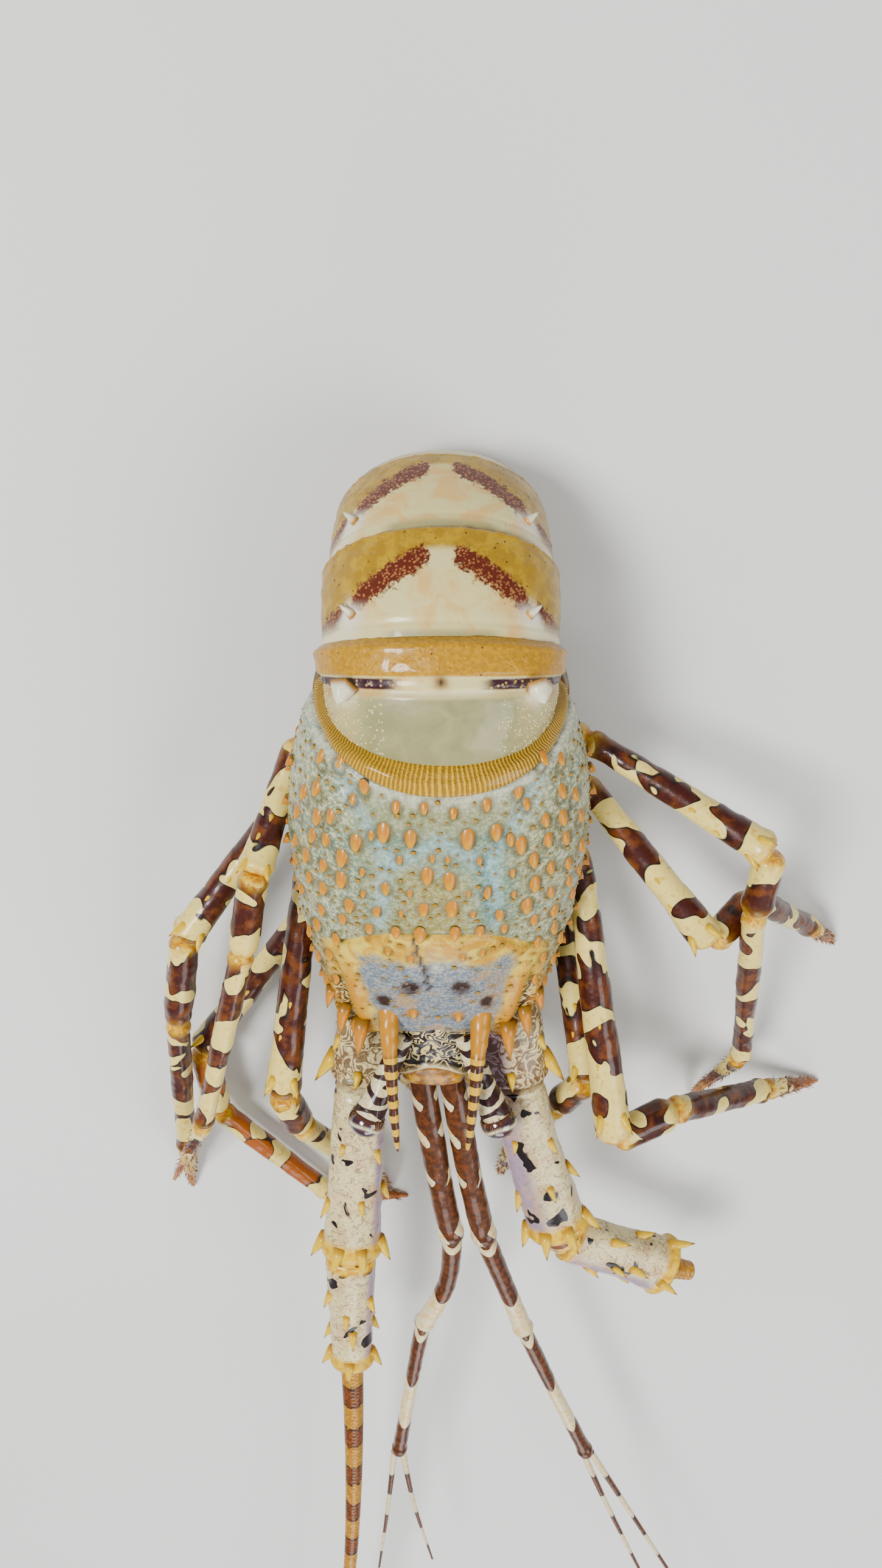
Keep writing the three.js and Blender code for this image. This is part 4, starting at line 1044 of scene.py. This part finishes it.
def antennae():
    for letter, plan in ANTENNAE.items():
        toward = 1 if letter == "R" else -1
        for part, stations in plan.items():
            grid, s, angle = limb_grid(stations, 56, 0.6, 3, 0.94)
            t = (s / s[-1])[:, None]
            rim = ease(t, 0.86, 0.93) * (part != "base") + (1 - ease(t, 0.03, 0.08)) * (part == "fore")
            face = -toward * np.cos(angle)[None, :]
            inner = ease(face, 0.55, 0.85) if letter == "R" else ease(face, -0.2, 0.5)
            relief = 0.3 * lumps(grid, 5, 11) + 0.22 * np.maximum(lumps(grid, 2, 12), 0)
            relief = relief + 0.7 * hump(t, 0.965, 0.02) - 0.6 * hump(t, 0.02, 0.02)
            edges = 0.5 * np.abs(np.sin(angle * 3))[None, :]
            relief = relief + edges * ease(t, 0.1, 0.3) * (1 - ease(t, 0.8, 0.9))
            marks = {"joint": rim, "inner": inner, "maze": part == "base"}
            name = f"antenna_{letter}_{part}"
            dress(f"{name}_segment", raised(grid, relief), antenna_finish, "antenna", [name], **marks)
        base_spines = [(0.8, 0.1, 11, 3.0), (0.55, 0.5, 5, 1.8)]
        if letter == "L":
            base_spines = [(t, 3.14 - angle, length, radius) for t, angle, length, radius in base_spines]
        base_spines.append((0.86, 1.4, 5, 1.8))
        for part, spines in (("arm", ARM_SPINES), ("fore", FORE_SPINES), ("base", base_spines)):
            spines_on(f"antenna_{letter}_{part}_spines", plan[part], spines, "antenna", thorn_finish)
        s, line, size = dense_path([plan["arm"][-1], plan["fore"][0], plan["fore"][1]], 0.6, 3)
        cuff = [(*p, a * 0.86, b * 0.86) for p, (a, b) in zip(line[:12], size[:12])]
        grid, s, angle = limb_grid(cuff, 32, 0.6, 0)
        dress(f"antenna_{letter}_elbow_skin", grid, mouth_finish, "antenna")


# Whips and antennules
WHIP = [
    (-35.3, -268.6, 49.5), (-36, -308, 47.5), (-38, -360, 44.5), (-42, -420, 41.5),
    (-50, -490, 39), (-66, -570, 37), (-92, -640, 36),
]
WHIP_STUB = [(86.2, -223.6, 44.9), (92, -226.5, 43.8), (96, -228.5, 42.8)]
WHIP_RADIUS = 4.3


def smooth_route(points, spacing):
    """A Catmull-Rom route through points, close-set."""
    p = np.asarray(points, float)
    p = np.vstack([2 * p[0] - p[1], p, 2 * p[-1] - p[-2]])
    out = []
    for a, b, c, d in zip(p, p[1:], p[2:], p[3:]):
        t = np.linspace(0, 1, 40, endpoint=False)[:, None]
        bend = (2 * a - 5 * b + 4 * c - d) * t ** 2 + (3 * b - a - 3 * c + d) * t ** 3
        out.append(0.5 * (2 * b + (c - a) * t + bend))
    out = np.vstack(out + [p[-2:-1]])
    at = np.concatenate([[0], np.cumsum(np.linalg.norm(np.diff(out, axis=0), axis=1))])
    s = np.arange(0, at[-1], spacing)
    return s / at[-1], np.stack([np.interp(s, at, out[:, k]) for k in range(3)], 1)


def ringed(name, route, root, tip, slot, material, nodes, pitch, band_length, columns=14, power_of=0.85):
    """A tapering whip or feeler with fine rings and slow colour bands."""
    t, line = smooth_route(route, pitch / 4)
    radius = root + (tip - root) * t ** power_of
    s = t * len(t) * pitch / 4
    radius = radius * (1 + 0.07 * np.cos(s * FULL_TURN / pitch))
    grid, angle = rings_along(line, np.stack([radius, radius], 1), columns)
    band = 0.5 + 0.5 * np.sin(s * FULL_TURN / band_length)[:, None]
    dress(name, grid, material, slot, nodes, band=band)


ANTENNULES = {
    "R": (
        [
            [
                (-7.2, -131.8, 42, 4.6, 4.2), (-4.6, -150, 45, 4.7, 4.3),
                (-0.6, -178, 47, 4.5, 4.2), (4, -206, 47, 4.6, 4.2),
            ],
            [(4.2, -206.8, 47, 3.9, 3.7), (3.4, -232, 46.2, 3.5, 3.4), (-7, -255, 45, 3.8, 3.5)],
            [(-7.3, -255.9, 45, 3.1, 3), (-13, -298, 42.6, 2.7, 2.6), (-18, -338, 40.2, 3, 2.8)],
        ],
        [
            [(-20, -338.8, 40), (-24, -385, 35), (-30, -445, 28)],
            [(-16.6, -338.8, 39.8), (-12, -385, 34), (-4, -440, 25)],
        ],
    ),
    "L": (
        [
            [
                (3.4, -131.8, 42, 4.6, 4.2), (6.2, -150, 45, 4.7, 4.3),
                (10.6, -178, 47, 4.5, 4.2), (16.4, -207, 47, 4.6, 4.2),
            ],
            [(16.8, -207.8, 47, 3.9, 3.7), (26, -236, 46.5, 3.5, 3.4), (32.6, -257, 46, 3.8, 3.5)],
            [(33, -257.9, 46, 3.1, 3), (47, -297, 44.2, 2.7, 2.6), (62, -336, 42.4, 3, 2.8)],
        ],
        [
            [(64, -336.2, 42.2), (85, -382, 39.6), (126, -472, 34)],
            [(60.8, -337.4, 41.8), (76, -384, 37.4), (106, -470, 29)],
        ],
    ),
}
# Pale bands of the three stalk lengths, as fractions of each
ANTENNULE_BANDS = [
    [(0.12, 0.18), (0.3, 0.38), (0.56, 0.63), (0.9, 1.0)],
    [(0.0, 0.08), (0.62, 1.0)],
    [(0.0, 0.06), (0.4, 0.74)],
]


def antennules():
    for letter, (lengths, feelers) in ANTENNULES.items():
        for number, stations in enumerate(lengths, 1):
            grid, s, angle = limb_grid(stations, 28, 0.6, 8)
            t = (s / s[-1])[:, None] * np.ones(28)
            band = np.zeros_like(t)
            lobed = t + 0.03 * np.cos(2 * angle)[None, :]
            for low, high in ANTENNULE_BANDS[number - 1]:
                pale = ease(lobed, low - 0.01, low + 0.02) * (1 - ease(lobed, high - 0.02, high + 0.01))
                band = np.maximum(band, pale)
            if number == 1:
                paired = ease(np.abs(np.cos(angle[None, :] + 0.4 * np.sin(t * 30))), 0.35, 0.7)
                band = band * paired + 0.4 * (1 - ease(t, 0.03, 0.08))
            relief = 0.5 * hump(t, 0.97, 0.02) - 0.4 * hump(t, 0.01, 0.02) + 0.15 * lumps(grid, 3, 13)
            grid = raised(grid, relief)
            node = f"antennule_{letter}_{number}"
            name = f"antennule_{letter}_length_{number}"
            dress(name, grid, antennule_finish, "antennule", [node], band=np.clip(band, 0, 1))
        for number, route in enumerate(feelers, 1):
            name = f"antennule_{letter}_feeler_{number}"
            thread = (1.35, 0.45, "antennule", antennule_finish, [name], 1.6, 34, 10, 1.0)
            ringed(name + "_thread", route, *thread)


# Legs: where each is rooted, bends at hip, knee, wrist and ankle, and ends, and its half width
LEGS = {
    "R1": (
        (-20, -87, 13), (-26, -98, 15), (-33, -124, 21),
        (-27, -138, 18), (-12, -163, 9), (-7, -178, 0.6), 4.3,
    ),
    "R2": (
        (-24, -64, 15), (-42, -76, 14), (-90, -144, 15),
        (-87, -177, 11), (-46, -222, 9), (-14, -232, 0.6), 4.8,
    ),
    "R3": (
        (-27, -44, 22), (-44, -53, 29), (-56, -142, 43),
        (-52, -164, 34), (-28, -206, 13), (-22, -228, 0.6), 5.2,
    ),
    "R4": (
        (-28, -24, 27), (-45, -25, 33), (-85, -78, 41),
        (-93, -118, 33), (-101.5, -196, 11), (-104, -226, 0.6), 4.8,
    ),
    "R5": (
        (-27, -6, 31), (-44, -8, 38), (-57.5, -45, 56),
        (-63.5, -75, 55), (-87.5, -163, 35), (-106, -206, 18), 4.5,
    ),
    "L1": (
        (19, -86, 13), (24, -97, 15), (31, -122, 21),
        (25, -136, 18), (11, -161, 9), (7, -176, 0.6), 4.3,
    ),
    "L2": (
        (24, -64, 15), (41, -74, 17), (52, -140, 38),
        (43, -158, 30), (28, -196, 12), (24, -220, 0.6), 4.8,
    ),
    "L3": (
        (27, -44, 22), (45, -50, 29), (60, -150, 56),
        (82, -147, 46), (124, -163, 16), (150, -171, 0.6), 5.4,
    ),
    "L4": (
        (28, -24, 27), (45, -24, 33), (87, -74, 50),
        (103, -65, 38), (133, -92, 12), (147, -106, 0.6), 4.8,
    ),
    "L5": (
        (27, -6, 31), (45, -7, 40), (99.5, -36, 60),
        (97.5, -59, 57.5), (112, -144, 20), (100, -178, 0.6), 4.5,
    ),
}
ROOT_PROFILE = [(-0.5, 1.35), (0.35, 1.3), (0.8, 0.95)]
THIGH_PROFILE = [(0.06, 0.84), (0.3, 0.94), (0.7, 1.06), (0.94, 1.18), (1, 0.95)]
WRIST_PROFILE = [(0, 0.9), (0.25, 1.05), (0.75, 1.08), (0.96, 0.86)]
SHIN_PROFILE = [(0.06, 0.84), (0.3, 0.86), (0.7, 0.78), (0.96, 0.76)]
CLAW_PROFILE = [(0.05, 0.66), (0.35, 0.56), (0.75, 0.36), (1, 0.14)]
CLAW_BRISTLES = 110


def part_of_leg(profile, start, end, size):
    a, b = np.array(start, float), np.array(end, float)
    return [(*(a + (b - a) * t), size * r, size * r * 1.05) for t, r in profile]


def leg_stretch(name, stations, joints, node, claw):
    """One half of a leg; joints are distances along it where it bends."""
    grid, s, angle = limb_grid(stations, 30, 0.8, 2.2)
    total = s[-1]
    swell = np.zeros_like(s)
    joint = np.zeros_like(s)
    for at in joints:
        swell += 0.5 * hump(s, at - 3.4, 1.8) - 1.0 * hump(s, at, 0.9) + 0.4 * hump(s, at + 3, 1.8)
        joint += hump(s, at, 3.0)
    wave = np.sin(s[:, None] * FULL_TURN / 21 + 0.7 * np.sin(angle)[None, :])
    relief = swell[:, None] + 0.3 * lumps(grid, 6, 14) + 0.12 * lumps(grid, 1.8, 15)
    seam = hump(np.cos(angle), 0, 0.2)[None, :] * (np.sin(angle) > 0)
    grid = raised(grid, relief - 0.35 * seam * claw)
    marks = {
        "along": (s / total)[:, None] * claw, "ring": wave, "joint": np.clip(joint, 0, 1)[:, None],
        "rust": name == "leg_R2_shin",
    }
    dress(name, grid, leg_finish, "leg", [node], **marks)


def legs():
    for letter, (coxa, hip, knee, wrist, ankle, tip, size) in LEGS.items():
        upper = part_of_leg(ROOT_PROFILE, coxa, hip, size) + part_of_leg(THIGH_PROFILE, hip, knee, size)
        lower = part_of_leg(WRIST_PROFILE, knee, wrist, size) + part_of_leg(SHIN_PROFILE, wrist, ankle, size)
        lower = lower + part_of_leg(CLAW_PROFILE, ankle, tip, size)
        first = np.linalg.norm(np.subtract(wrist, knee))
        second = first + np.linalg.norm(np.subtract(ankle, wrist))
        root = np.linalg.norm(np.subtract(hip, coxa)) * 1.5
        thigh = root + np.linalg.norm(np.subtract(knee, hip))
        leg_stretch(f"leg_{letter}_thigh", upper, (root, thigh), f"leg_{letter}_upper", False)
        leg_stretch(f"leg_{letter}_shin", lower, (0, first, second), f"leg_{letter}_lower", True)
        thorns = [(0.9, at, size * 1.3, size * 0.36) for at in (0.9, 2.2)]
        thorns += [(0.55, 1.5, 2.2, 0.9), (0.7, 1.1, 2.2, 0.9)]
        spines_on(f"leg_{letter}_thorns", [upper[3], upper[-1]], thorns, "leg", thorn_finish, 1.2)
        t = draw.uniform(0.05, 0.9, CLAW_BRISTLES)
        turn = draw.uniform(0, FULL_TURN, CLAW_BRISTLES)
        hairs = [(a, b, draw.uniform(1.4, 2.6), 0.14) for a, b in zip(t, turn)]
        spines_on(f"leg_{letter}_claw_bristles", lower[-4:], hairs, "leg", bristle_finish, 1.6)


# Tail
def arc_joint(degrees, half, thick):
    a = math.radians(degrees)
    return (8 + 69 * math.sin(a), 18 + 69 * math.cos(a), a, half, thick)


TAIL = [
    arc_joint(-6, 30.5, 40), arc_joint(24, 33.5, 40), arc_joint(51, 32.5, 38), arc_joint(78, 29.5, 34),
    (71, 9.5, math.radians(116), 28, 29), (50, 0.4, math.radians(158), 25.5, 24),
    (29, -0.4, math.radians(180), 21, 15),
]
TERGITE_ROWS = 64
TERGITE_COLUMNS = 220
TERGITE_SWELL = ([-0.12, 0, 0.2, 0.55, 0.9, 0.985, 1.05], [-2.6, -1.4, -0.6, 0.5, 1.0, 0.8, -1.6])
PLATE_BEADS = 420
HOOK_X = 23.5


def tail_blend(number, t):
    ya, za, ha, wa, ta = TAIL[number - 1]
    yb, zb, hb, wb, tb = TAIL[number]
    heading = ha + (hb - ha) * t
    bulge = math.hypot(yb - ya, zb - za) * abs(hb - ha) / 2 * t * (1 - t)
    y = ya + (yb - ya) * t + bulge * np.sin(heading)
    z = za + (zb - za) * t + bulge * np.cos(heading)
    return y, z, heading, wa + (wb - wa) * t, ta + (tb - ta) * t


def tergites():
    angle = ring_angles(TERGITE_COLUMNS)[None, :]
    s, c = np.sin(angle), np.cos(angle)
    for number in range(1, 7):
        t = np.linspace(-0.12 if number > 1 else 0.0, 1.05 if number < 6 else 1.0, TERGITE_ROWS)[:, None]
        y, z, heading, half, thick = tail_blend(number, t)
        swell = curve_through(t, *TERGITE_SWELL)
        widest = thick * 0.58
        above = (widest + swell) * np.abs(c)
        depth = np.where(c > 0, above, -(thick - widest) * np.abs(c) ** 0.6) - widest
        narrow = np.where(c < 0, 1 - 0.3 * np.abs(c), 1)
        x = (half + swell * 0.6) * power(s, 0.95) * narrow
        grid = np.stack([x, y + depth * np.sin(heading), z + depth * np.cos(heading)], -1)
        top = ease(c, -0.1, 0.15)
        u = np.abs(x)
        arc_t = 0.74 - 0.34 * (np.maximum(u - 3, 0) / 20) ** 1.3
        beads = np.maximum(lumps(grid, 1.5, 16), 0)
        first = number == 1
        zero = 0 * x
        if first:
            lump = hump(np.hypot(u - 29.5, (t - 0.62) * 30), 0, 2.4)
            gold = ease(t, 0.765, 0.785) + 0.9 * hump(t, 0.03, 0.02) + lump
            tan = arc = zero
            # On the first plate the sage is the plate's own colour
            sage_and_shade = ease(t, 0.04, 0.12) * (1 - ease(t, 0.6, 0.645)) * (1 - 0.5 * ease(u, 17, 26))
            strip = ease(t, 0.66, 0.68) * (1 - ease(t, 0.75, 0.77)) * ease(u, 9, 14)
            cream = hump(t, 0.655, 0.02) * (1 - ease(u, 13, 16))
            spot = hump(np.hypot(x, (t - 0.735) * 34), 0, 1.7)
            white = hump(np.hypot(u - 25.5, (t - 0.62) * 30), 0, 2.6)
            form = -1.1 * hump(t, 0.66, 0.016) * top + 1.2 * white + 1.0 * ease(t, 0.755, 0.8)
        else:
            gold = hump(t, 0.99, 0.014) * 0.8
            tan = ease(t, arc_t + 0.02, arc_t + 0.1)
            arc = hump(t, arc_t, 0.115) * ease(u, 1.0, 6) * (1 - 0.8 * hump(u, 24.5, 1.6))
            # Painted shadow: sage at the front of this plate, under the rear edge of the plate ahead
            sage_and_shade = (1 - ease(t, 0.1, 0.17)) * (1 - ease(u, 12, 17)) * 0.8
            strip = spot = zero
            cream = ease(u, 20, 26) * hump(t, 0.12, 0.1)
            flare = hump((u - 24.5) / (1 + 3 * ease(arc_t - t, -0.06, 0.12)), 0, 0.9)
            white = np.minimum(1.2 * flare * hump(t, 0.3, 0.12), 1)
            form = -0.33 * hump(t, 0.2, 0.016) * top
        rough = 0.03 + 0.3 * gold + 0.25 * tan + 0.35 * strip + 0.35 * sage_and_shade * ease(u, 14, 20)
        relief = 0.2 * lumps(grid, 9, 17) + rough * beads + form + 0.35 * hump(t, 0.985, 0.02)
        grid = raised(grid, relief * top * ease(t, -0.12, 0.02))
        grid[..., 2] = np.maximum(grid[..., 2], 0.05)
        marks = {
            "tan": tan, "sage_and_shade": sage_and_shade, "arc": arc, "strip": strip, "cream": cream, "eyespot": spot,
            "white": white, "gold": gold,
        }
        marks = {label: np.clip(v * top, 0, 1) for label, v in marks.items()}
        dress(f"tail_plate_{number}", grid, tail_finish, "tail", [f"abdomen_{number}"], **marks)
        if first:
            strewn = np.argwhere((u > 15) & (np.abs(t - 0.34) < 0.26) & (c > 0.15))
            row, column = strewn[draw.choice(len(strewn), PLATE_BEADS, replace=False)].T
            outward = outward_normals(grid)[row, column]
            radius = draw.uniform(0.2, 0.45, PLATE_BEADS)
            studs("tail_plate_beads", grid[row, column], outward, radius, 0.4, bead_finish, "tail", 6, 1.2)
        if number in (2, 3):
            row = np.abs(t[:, 0] - 0.3).argmin()
            off = [np.abs(x[row] - side * HOOK_X) + 99 * (c[0] < 0) for side in (-1, 1)]
            columns = [int(np.argmin(distance)) for distance in off]
            back = grid[row + 4, columns] - grid[row, columns]
            outward = outward_normals(grid)[row, columns]
            aims = back * 0.35 + outward * 0.5 + np.array([[-0.8, 0, 0], [0.8, 0, 0]])
            studs(f"tail_hooks_{number}", grid[row, columns], aims, 1.5, 5.0, knob_finish, "tail", 6, 0.3)
        pleura(number)


def pleura(number):
    """The pointed side lobes of one tail plate."""
    y, z, heading, half, thick = tail_blend(number, 0.55)
    outward = np.array([0, math.sin(heading), math.cos(heading)])
    along = np.array([0, math.cos(heading), -math.sin(heading)])
    if number == 1:
        knob_y, knob_z, turn, wide, deep = tail_blend(1, 0.66)
        up = np.array([0, math.sin(turn), math.cos(turn)])
        spots = [np.array([side * (wide - 6.5), knob_y, knob_z]) - up * deep * 0.13 for side in (-1, 1)]
        aims = [up * 0.7 + np.array([side * 0.2, -0.6, 0]) for side in (-1, 1)]
        studs("tail_hinge_knobs", spots, aims, 4.1, 5.8, knob_finish, "tail", 5, 0.5)
    for side, letter in SIDES:
        root = np.array([side * (half - 3.2), y, z]) - outward * thick * 0.5
        t = np.linspace(0, 1, 26)[:, None]
        line = root - outward * t * thick * 0.5 + along * 5 * t ** 2
        line = line + np.array([side * 1.5, 0, 0]) * np.sin(t * 3)
        wide = (7.5 * (1 - t ** 1.6) + 0.5)[:, :, None]
        thin = (2.6 * (1 - t ** 2) + 0.4)[:, :, None]
        turn = ring_angles(24)[None, :, None]
        across = np.array([side, 0, 0.0])
        grid = line[:, None] + np.cos(turn) * along * wide + np.sin(turn) * across * thin
        grid[..., 2] = np.maximum(grid[..., 2], 0.1)
        marks = {
            "tan": ease(t, 0.55, 0.8), "sage_and_shade": 1 - ease(t, 0.1, 0.4), "arc": hump(t, 0.5, 0.12),
            "white": ease(t, 0.9, 1),
        }
        dress(f"tail_lobe_{number}_{letter}", grid, tail_finish, "tail", [f"abdomen_{number}"], **marks)


# Tail fan: x of the root, turn, half width
FAN = {
    "telson": (0, 0, 11), "uropod_L_in": (12, 11, 9.5), "uropod_R_in": (-12, -11, 9.5),
    "uropod_L_out": (16.5, 29, 10), "uropod_R_out": (-16.5, -29, 10),
}
FAN_LENGTH = 48


def fan_blades():
    for node, (root_x, turn, half) in FAN.items():
        p = np.linspace(0, 1, 70)[:, None]
        wide = 0.4 * (1 - p) ** 3 + 3.75 * (1 - p) ** 2 * p + 3.6 * (1 - p) * p ** 2
        reach = (1.05 * (1 - p) ** 2 * p + 3 * (1 - p) * p ** 2 + p ** 3) * FAN_LENGTH
        angle = ring_angles(96)[None, :]
        x = np.maximum(wide, 0.03) * half * power(np.cos(angle), 0.8)
        rib = 0.5 + 0.5 * np.cos(x * 3.4 / (0.4 + wide))
        lift = np.where(np.sin(angle) > 0, 0.62 + 0.4 * rib + 0.5 * hump(x, 0, 2), 0.7)
        z = 0.8 + power(np.sin(angle), 0.6) * lift * (1 - 0.6 * p ** 3)
        a = math.pi + math.radians(turn)
        across = root_x + x * math.cos(a) - reach * math.sin(a)
        back = np.minimum(FAN_ROOT_Y + x * math.sin(a) + reach * math.cos(a), FAN_ROOT_Y)
        grid = np.stack([across, back, z], -1)
        dress(f"{node}_blade", grid, fan_finish, "fan", [node], rib=rib, along=p)


# Mouth limbs
MOUTH_BRISTLES = 160


def mouth_limbs():
    rows = [(7, -84, -54, 4.5, 4.5), (7.5, -104, -50, 5, 5), (7, -124, -47, 4.6, 4.6)]
    rows.append((6, -134, -44, 3.4, 3.4))
    for side, letter in SIDES:
        grid, s, angle = limb_grid(thorax_stations(rows, side), 36, 0.7, 4)
        t = (s / s[-1])[:, None]
        relief = 0.3 * lumps(grid, 4, 19) - 0.8 * hump(t, 0.42, 0.02) - 0.8 * hump(t, 0.78, 0.02)
        node = f"maxilliped_{letter}"
        dress(f"{node}_limb", raised(grid, relief), mouth_finish, "mouth", [node])
        hairs = []
        for _ in range(MOUTH_BRISTLES):
            hairs.append((draw.uniform(0.2, 1), draw.uniform(0.3, 2.8), draw.uniform(2, 4), 0.16))
        spines_on(f"{node}_bristles", thorax_stations(rows, side), hairs, "mouth", bristle_finish, 0.8)


carapace()
cones()
granules()
head_pieces()
eyes()
antennae()
whip_nodes = [f"antenna_R_whip_{number}" for number in (1, 2, 3)]
ringed("antenna_R_whip", WHIP, WHIP_RADIUS, 0.9, "whip", whip_finish, whip_nodes, 2.2, 27)
stub_nodes = ["antenna_L_whip_stub"]
ringed("antenna_L_stub", WHIP_STUB, WHIP_RADIUS, 3.4, "whip", whip_finish, stub_nodes, 2.2, 27)
antennules()
legs()
tergites()
fan_blades()
mouth_limbs()


# Floor, light and camera
FLOOR_REACH = 6.0
FLOOR_Z = -0.0003


def floor_material():
    m = Recipe("studio_floor")
    colour = m.blend(m.step(m.noise(400, 2), 0.4, 0.6), (250, 250, 247), (254, 254, 252))
    return m.finish(colour, 0.8 + m.noise(200) * 0.02)


floor_mesh = bpy.data.meshes.new("floor")
corners = [(x * FLOOR_REACH, y * FLOOR_REACH, FLOOR_Z) for x, y in ((-1, -1), (1, -1), (1, 1), (-1, 1))]
floor_mesh.from_pydata(corners, [], [(0, 1, 2, 3)])
floor_mesh.materials.append(floor_material())
floor = placed("floor", floor_mesh)


def lamp(name, place, target, size, power_watts, colour=(1, 1, 1)):
    data = bpy.data.lights.new(name, "AREA")
    data.size = size
    data.energy = power_watts
    data.color = colour
    light = placed(name, data)
    light.location = place
    light.rotation_euler = (Vector(target) - Vector(place)).to_track_quat("-Z", "Y").to_euler()


lamp("key_light", (-0.7, 0.5, 1.3), (0, 0, 0), 0.45, 34)
lamp("fill_light", (0.9, -0.2, 1.1), (0, 0, 0), 0.8, 15)
lamp("back_light", (0.1, -1.2, 0.9), (0, 0, 0.03), 0.8, 10)
world = bpy.data.worlds.new("studio")
world.use_nodes = True
world.node_tree.nodes["Background"].inputs["Color"].default_value = (0.93, 0.95, 1.0, 1.0)
world.node_tree.nodes["Background"].inputs["Strength"].default_value = 0.42
bpy.context.scene.world = world

TILT = math.radians(25)
camera_data = bpy.data.cameras.new("camera")
camera_data.lens = 25.99
camera_data.sensor_width = 36
camera_data.sensor_fit = "AUTO"
camera_data.clip_start = 0.01
camera = placed("camera", camera_data)
sin, cos = math.sin(TILT), math.cos(TILT)
turn = Matrix(((1, 0, 0), (0, cos, sin), (0, -sin, cos)))
camera.matrix_world = Matrix.Translation(Vector((0, 0.1268, 0.3599)) + Vector(SHIFT)) @ turn.to_4x4()
bpy.context.scene.camera = camera
